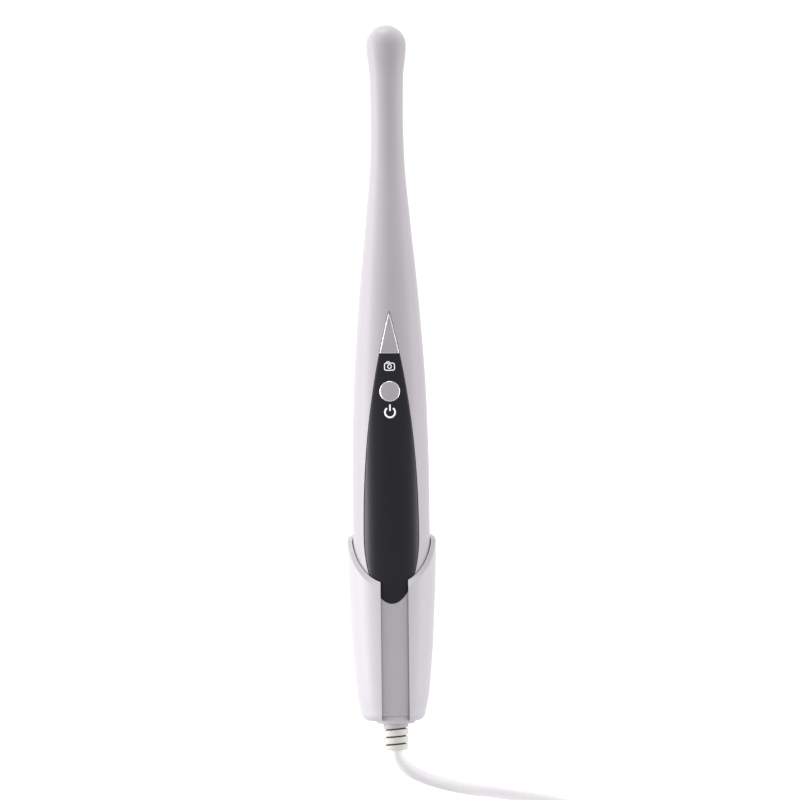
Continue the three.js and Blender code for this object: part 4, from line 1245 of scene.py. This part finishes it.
def make_back_shell():
    shell = hollow_wand("back_housing")
    for along in SCREW_PLACES:
        carve(shell, screw_boss(along, -10, AXIS_HEIGHT + 0.5), "UNION")
    carve(shell, above_seam(-SEAM / 2))
    for i, along in enumerate(SCREW_PLACES):
        foot = corners("housing_screw_%d" % (i + 1))[0].z - GAP
        carve(shell, upright("screw_hole", rod(SCREW_BORE, foot, FAR), 32, along))
    hole = rod(half_across("window_bezel") + FIT, -10, middle_height(HEAD_MIDDLE))
    carve(shell, upright("window_hole", hole, 64, HEAD_MIDDLE))
    finish_piece(shell, 30, "wand", "housing", "back_shell")


make_front_shell()
make_back_shell()
make_panel()
make_keys()
make_signs()

# ---------- Holder ----------

def holder_inside(along):
    return half_width(along) + HOLDER_CLEARANCE


def holder_outside(along):
    return holder_inside(along) + HOLDER_WALL


def holder_body(name, radius, low, corner, *materials):
    """The holder's outside or inside as a solid."""
    angles = [i / 8 * math.pi / 2 for i in range(9)]
    profile = [(0.01, low), *edge_round(radius(low + corner), corner, low, angles)]
    steps = 44
    for i in range(1, steps + 1):
        along = between(low + corner, HOLDER_TOP, i / steps)
        profile.append((radius(along), along))
    rings = []
    for reach, along in profile:
        place = max(along, low + corner)
        extra = radius(place) - half_width(place)
        flatten = (half_depth(place) + extra) / radius(place)
        rings.append(oval_ring(reach, along, AXIS_HEIGHT, flatten, HOLDER_SIDES))
    return loft(name, rings, *materials)


def rim_line():
    """The rim from the side, as (along, height) points from the back to the front."""
    corner = Vector((RIM_SIDE, AXIS_HEIGHT + RIM_SIDE_HEIGHT))
    front_edge = AXIS_HEIGHT + half_depth(RIM_FRONT) + HOLDER_CLEARANCE + HOLDER_WALL
    backward = Vector((RIM_BACK, AXIS_HEIGHT - HOLDER_BACK)) - corner
    forward = Vector((RIM_FRONT, front_edge)) - corner
    start = corner + backward.normalized() * RIM_ROUND
    end = corner + forward.normalized() * RIM_ROUND
    return [corner + backward * 2, *corner_curve(start, corner, end, 16), corner + forward * 2]


def above_rim():
    side = [tuple(p) for p in rim_line()]
    side += [(HOLDER_TOP + 5, side[-1][1]), (HOLDER_TOP + 5, side[0][1])]
    return across("above_rim", [(WAND_Y + along, height) for along, height in side])


def round_rim(shell):
    """A wide round along the outer edge of the slanted rim."""
    mesh = bmesh.new()
    mesh.from_mesh(shell.data)
    edges = []
    for edge in mesh.edges:
        if len(edge.link_faces) != 2 or edge.calc_length() < 1e-6:
            continue
        for cut, skin in (edge.link_faces, reversed(edge.link_faces)):
            middle = (edge.verts[0].co + edge.verts[1].co) / 2
            outwards = Vector((middle.x, 0, middle.z - AXIS_HEIGHT * MM)).normalized()
            on_rim = cut.normal.y > 0.3 and abs(cut.normal.x) < 0.01 and middle.y > (WAND_Y + 30) * MM
            if on_rim and abs(skin.normal.y) < 0.25 and skin.normal.dot(outwards) > 0.5:
                edges.append(edge)
    size = {"offset": RIM_EDGE * MM, "segments": 6, "profile": 0.5}
    bmesh.ops.bevel(mesh, geom=edges, affect="EDGES", clamp_overlap=True, **size)
    mesh.to_mesh(shell.data)
    mesh.free()


def make_holder():
    """A slotted cup with a thin rounded edge, and a flat block at its back."""
    shell = holder_body("slotted_holder", holder_outside, 0, HOLDER_CORNER, HOLDER)
    back_end = RIM_BACK - 2
    outline = rounded_rectangle(BACK_WIDTH, back_end - BACK_START, BACK_CORNER)
    middle = WAND_Y + (BACK_START + back_end) / 2
    back = prism("back", [(x, middle + y) for x, y in outline], AXIS_HEIGHT - HOLDER_BACK, AXIS_HEIGHT)
    carve(shell, back, "UNION")
    carve(shell, holder_body("hollow", holder_inside, HOLDER_FLOOR, HOLDER_CORNER - HOLDER_WALL))
    half_slot = SLOT_WIDTH / 2
    carve(shell, block("slot", (EXIT_X - half_slot, -100, AXIS_HEIGHT), (EXIT_X + half_slot, 100, FAR)))
    carve(shell, above_rim())
    hole = rod(COLLAR_RADIUS + HOLDER_CLEARANCE, WAND_Y - 10, WAND_Y + HOLDER_FLOOR + 1)
    carve(shell, on_exit("collar_hole", hole, 72))
    round_rim(shell)
    bevel(shell, HOLDER_EDGE, segments=3)
    finish_piece(shell, 50, "holder", "holder", "holder_shell")


def make_pad():
    """The foam pad on the holder's flat back."""
    low, high, middle = node_frame("mounting_pad")
    outline = rounded_rectangle(high.x - low.x, high.y - low.y, 2, 8)
    pad = prism("foam_pad", [(middle.x + x, middle.y + y) for x, y in outline], low.z, high.z, FOAM)
    bevel(pad, 0.12)
    finish_piece(pad, 32, "holder", "foam", "mounting_pad")


# ---------- Collar and strain relief ----------

def make_collar():
    low, high = corners("tail_collar")
    bore = RELIEF_NECK + FIT
    lip_top = low.y + COLLAR_LIP
    profile = [
        (bore, low.y),
        (COLLAR_RADIUS, low.y),
        (COLLAR_RADIUS, lip_top),
        (SPIGOT_RADIUS, lip_top),
        (SPIGOT_RADIUS, high.y),
        (bore, high.y),
    ]
    profile = round_corner(round_corner(profile, 2, 0.2), 1, 0.7, 6)
    collar = on_exit("cable_collar", profile, 72, HOLDER, loop=True)
    finish_piece(collar, 40, "wand", "relief", "tail_collar")


def make_relief():
    """The moulded strain relief, ribbed by slanted slots, with painted shade on the faces deep in the slots.
    """
    low, high = corners("strain_relief")
    relief_top = corners("tail_collar")[0].y - 0.05
    bore = CABLE_RADIUS + FIT
    foot = high.y - 1.2  # of its anchor inside the collar
    profile = [
        (bore, low.y),
        (RELIEF_RADIUS - 0.2, low.y),
        (RELIEF_RADIUS, relief_top),
        (RELIEF_NECK, relief_top),
        (RELIEF_NECK, foot),
        (SPIGOT_RADIUS, foot),
        (SPIGOT_RADIUS, high.y),
        (bore, high.y),
    ]
    profile = round_corner(round_corner(profile, 2, 0.15), 1, 0.6, 6)
    relief = on_exit("ribbed_relief", profile, 72, RELIEF, COLLAR, PAINTED_SLOT_SHADE, loop=True)
    inner, outer, half = bore + RELIEF_WALL - FIT, RELIEF_RADIUS + 1, RELIEF_SLOT / 2
    section = [(inner, -half), (outer, -half), (outer, half), (inner, half)]
    for i in range(RELIEF_SLOTS):
        y = relief_top - RELIEF_FIRST_SLOT - i * RELIEF_SLOT_PITCH
        place = Matrix.Translation(Vector((EXIT_X, y, AXIS_HEIGHT)) * MM)
        slot = turned("relief_slot", section, 72, (0, 0, 0), loop=True)
        slot.data.transform(place @ Matrix.Rotation(-RELIEF_SLANT, 4, "Z"))
        carve(relief, slot)
    bevel(relief, 0.07, angle=50)
    axis = Vector((EXIT_X, AXIS_HEIGHT)) * MM
    for face in relief.data.polygons:
        reach = (face.center.xz - axis).length / MM
        y = face.center.y / MM
        # faces deep in the slots take the near-black painted shade; the top ring takes the grey
        if reach < RELIEF_RADIUS - 0.45 and low.y + 0.5 < y < relief_top - 0.3:
            face.material_index = 2
        elif y > relief_top - 1.35:
            face.material_index = 1
    finish_piece(relief, 40, "wand", "relief", "strain_relief")


make_holder()
make_pad()
make_collar()
make_relief()


# ---------- Camera head ----------

def head_piece(name, profile, sides, material, angle, slot, node, loop=False):
    """A piece turned round the camera's axis."""
    piece = upright(name, profile, sides, HEAD_MIDDLE, material, loop=loop)
    finish_piece(piece, angle, "wand", slot, node)


def make_bezel():
    """The dark ring round the window, with a dished face."""
    low, high = corners("window_bezel")
    radius = half_across("window_bezel")
    bore = radius - BEZEL_WALL
    opening = bore - BEZEL_WALL / 2
    profile = [
        (opening, low.z + 0.12),
        (opening + 0.35, low.z),
        (radius, low.z),
        (radius, high.z),
        (bore, high.z),
        (bore, low.z + BEZEL_LIP),
        (opening, low.z + BEZEL_LIP),
    ]
    profile = round_corner(profile, 2, 0.35, 5)
    head_piece("bezel_ring", profile, 96, BLACK, 30, "black_plastic", "window_bezel", loop=True)


def make_window():
    low, high = corners("lens_window")
    profile = rod(half_across("lens_window"), low.z, high.z)
    profile = round_corner(round_corner(profile, 2, 0.08), 1, 0.08)
    head_piece("lens_cover", profile, 96, GLASS, 30, "glass", "lens_window")


def make_lamp(index):
    """A white lamp package with a yellow phosphor disc in its cup, seen from below."""
    node = "led_%d" % (index + 1)
    low, high, middle = node_frame(node)
    angle = index * 2 * math.pi / LED_COUNT
    side = (high.x - low.x) / (abs(math.cos(angle)) + abs(math.sin(angle)))
    turn = Matrix.Rotation(angle, 4, "Z")
    outline = [turn @ Vector((x, y, 0)) + middle for x, y in rounded_rectangle(side, side, 0.12, 4)]
    lamp = prism("lamp", [(p.x, p.y) for p in outline], low.z, high.z, NYLON)
    foot = (middle.x, middle.y, low.z)
    cup = [(0, -1), (side * 0.42, -1), (side * 0.34, 0.12), (0, 0.12)]
    carve(lamp, turned("cup", cup, 32, foot, direction="Z"))
    disc = turned("phosphor", rod(side * 0.35, 0.06, 0.2), 32, foot, PHOSPHOR, direction="Z")
    piece = join("white_lamp_%d" % (index + 1), [lamp, disc])
    finish_piece(piece, 30, "wand", "lamp", node)


def make_barrel():
    low, high = corners("lens_barrel")
    radius, lens_radius = half_across("lens_barrel"), half_across("front_lens")
    inner, outer = lens_radius - FIT, lens_radius + FIT
    step = low.z + (high.z - low.z) / 2
    profile = [(outer, low.z + 0.15), (outer + 0.25, low.z), (radius, low.z)]
    pitch = (high.z - low.z - 0.7) / BARREL_THREADS
    for i in range(BARREL_THREADS):
        z = between(low.z + 0.4, high.z - 0.3, i / BARREL_THREADS)
        profile += [(radius, z), (radius - THREAD_DEPTH, z + pitch * 0.35), (radius, z + pitch * 0.7)]
    profile += [(radius, high.z), (inner, high.z), (inner, step), (outer, step)]
    head_piece("threaded_barrel", profile, 64, BLACK, 25, "black_plastic", "lens_barrel", loop=True)


def make_lens():
    low, high = corners("front_lens")
    radius = half_across("front_lens")
    shares = [i / 9 for i in range(10)]
    profile = [(radius * share, low.z + LENS_RISE * share**2) for share in shares]
    profile += [(radius, high.z), (0, high.z)]
    head_piece("domed_lens", profile, 64, LENS, 30, "glass", "front_lens")


make_bezel()
make_window()
for lamp_index in range(LED_COUNT):
    make_lamp(lamp_index)
make_barrel()
make_lens()


# ---------- Inner pieces kept from the frame ----------

def give(material, *nodes):
    """Gives frame nodes a material."""
    for node in nodes:
        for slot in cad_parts[node].material_slots:
            slot.material = material


give(NYLON, "capture_plunger", "power_plunger", "cable_header", "cable_clamp")
give(CHIP, "video_processor", "image_sensor", "capture_switch", "power_switch")
give(BLACK, "ribbon_connector")
give(BOARD, "key_board", "led_board", "sensor_board", "main_board")
give(FILM, "camera_ribbon")
give(STEEL, "housing_screw_1", "housing_screw_2")
give(BRASS, "gland_nut")
for wire_index, wire in enumerate(WIRES):
    give(wire, "cable_wire_%d" % (wire_index + 1))
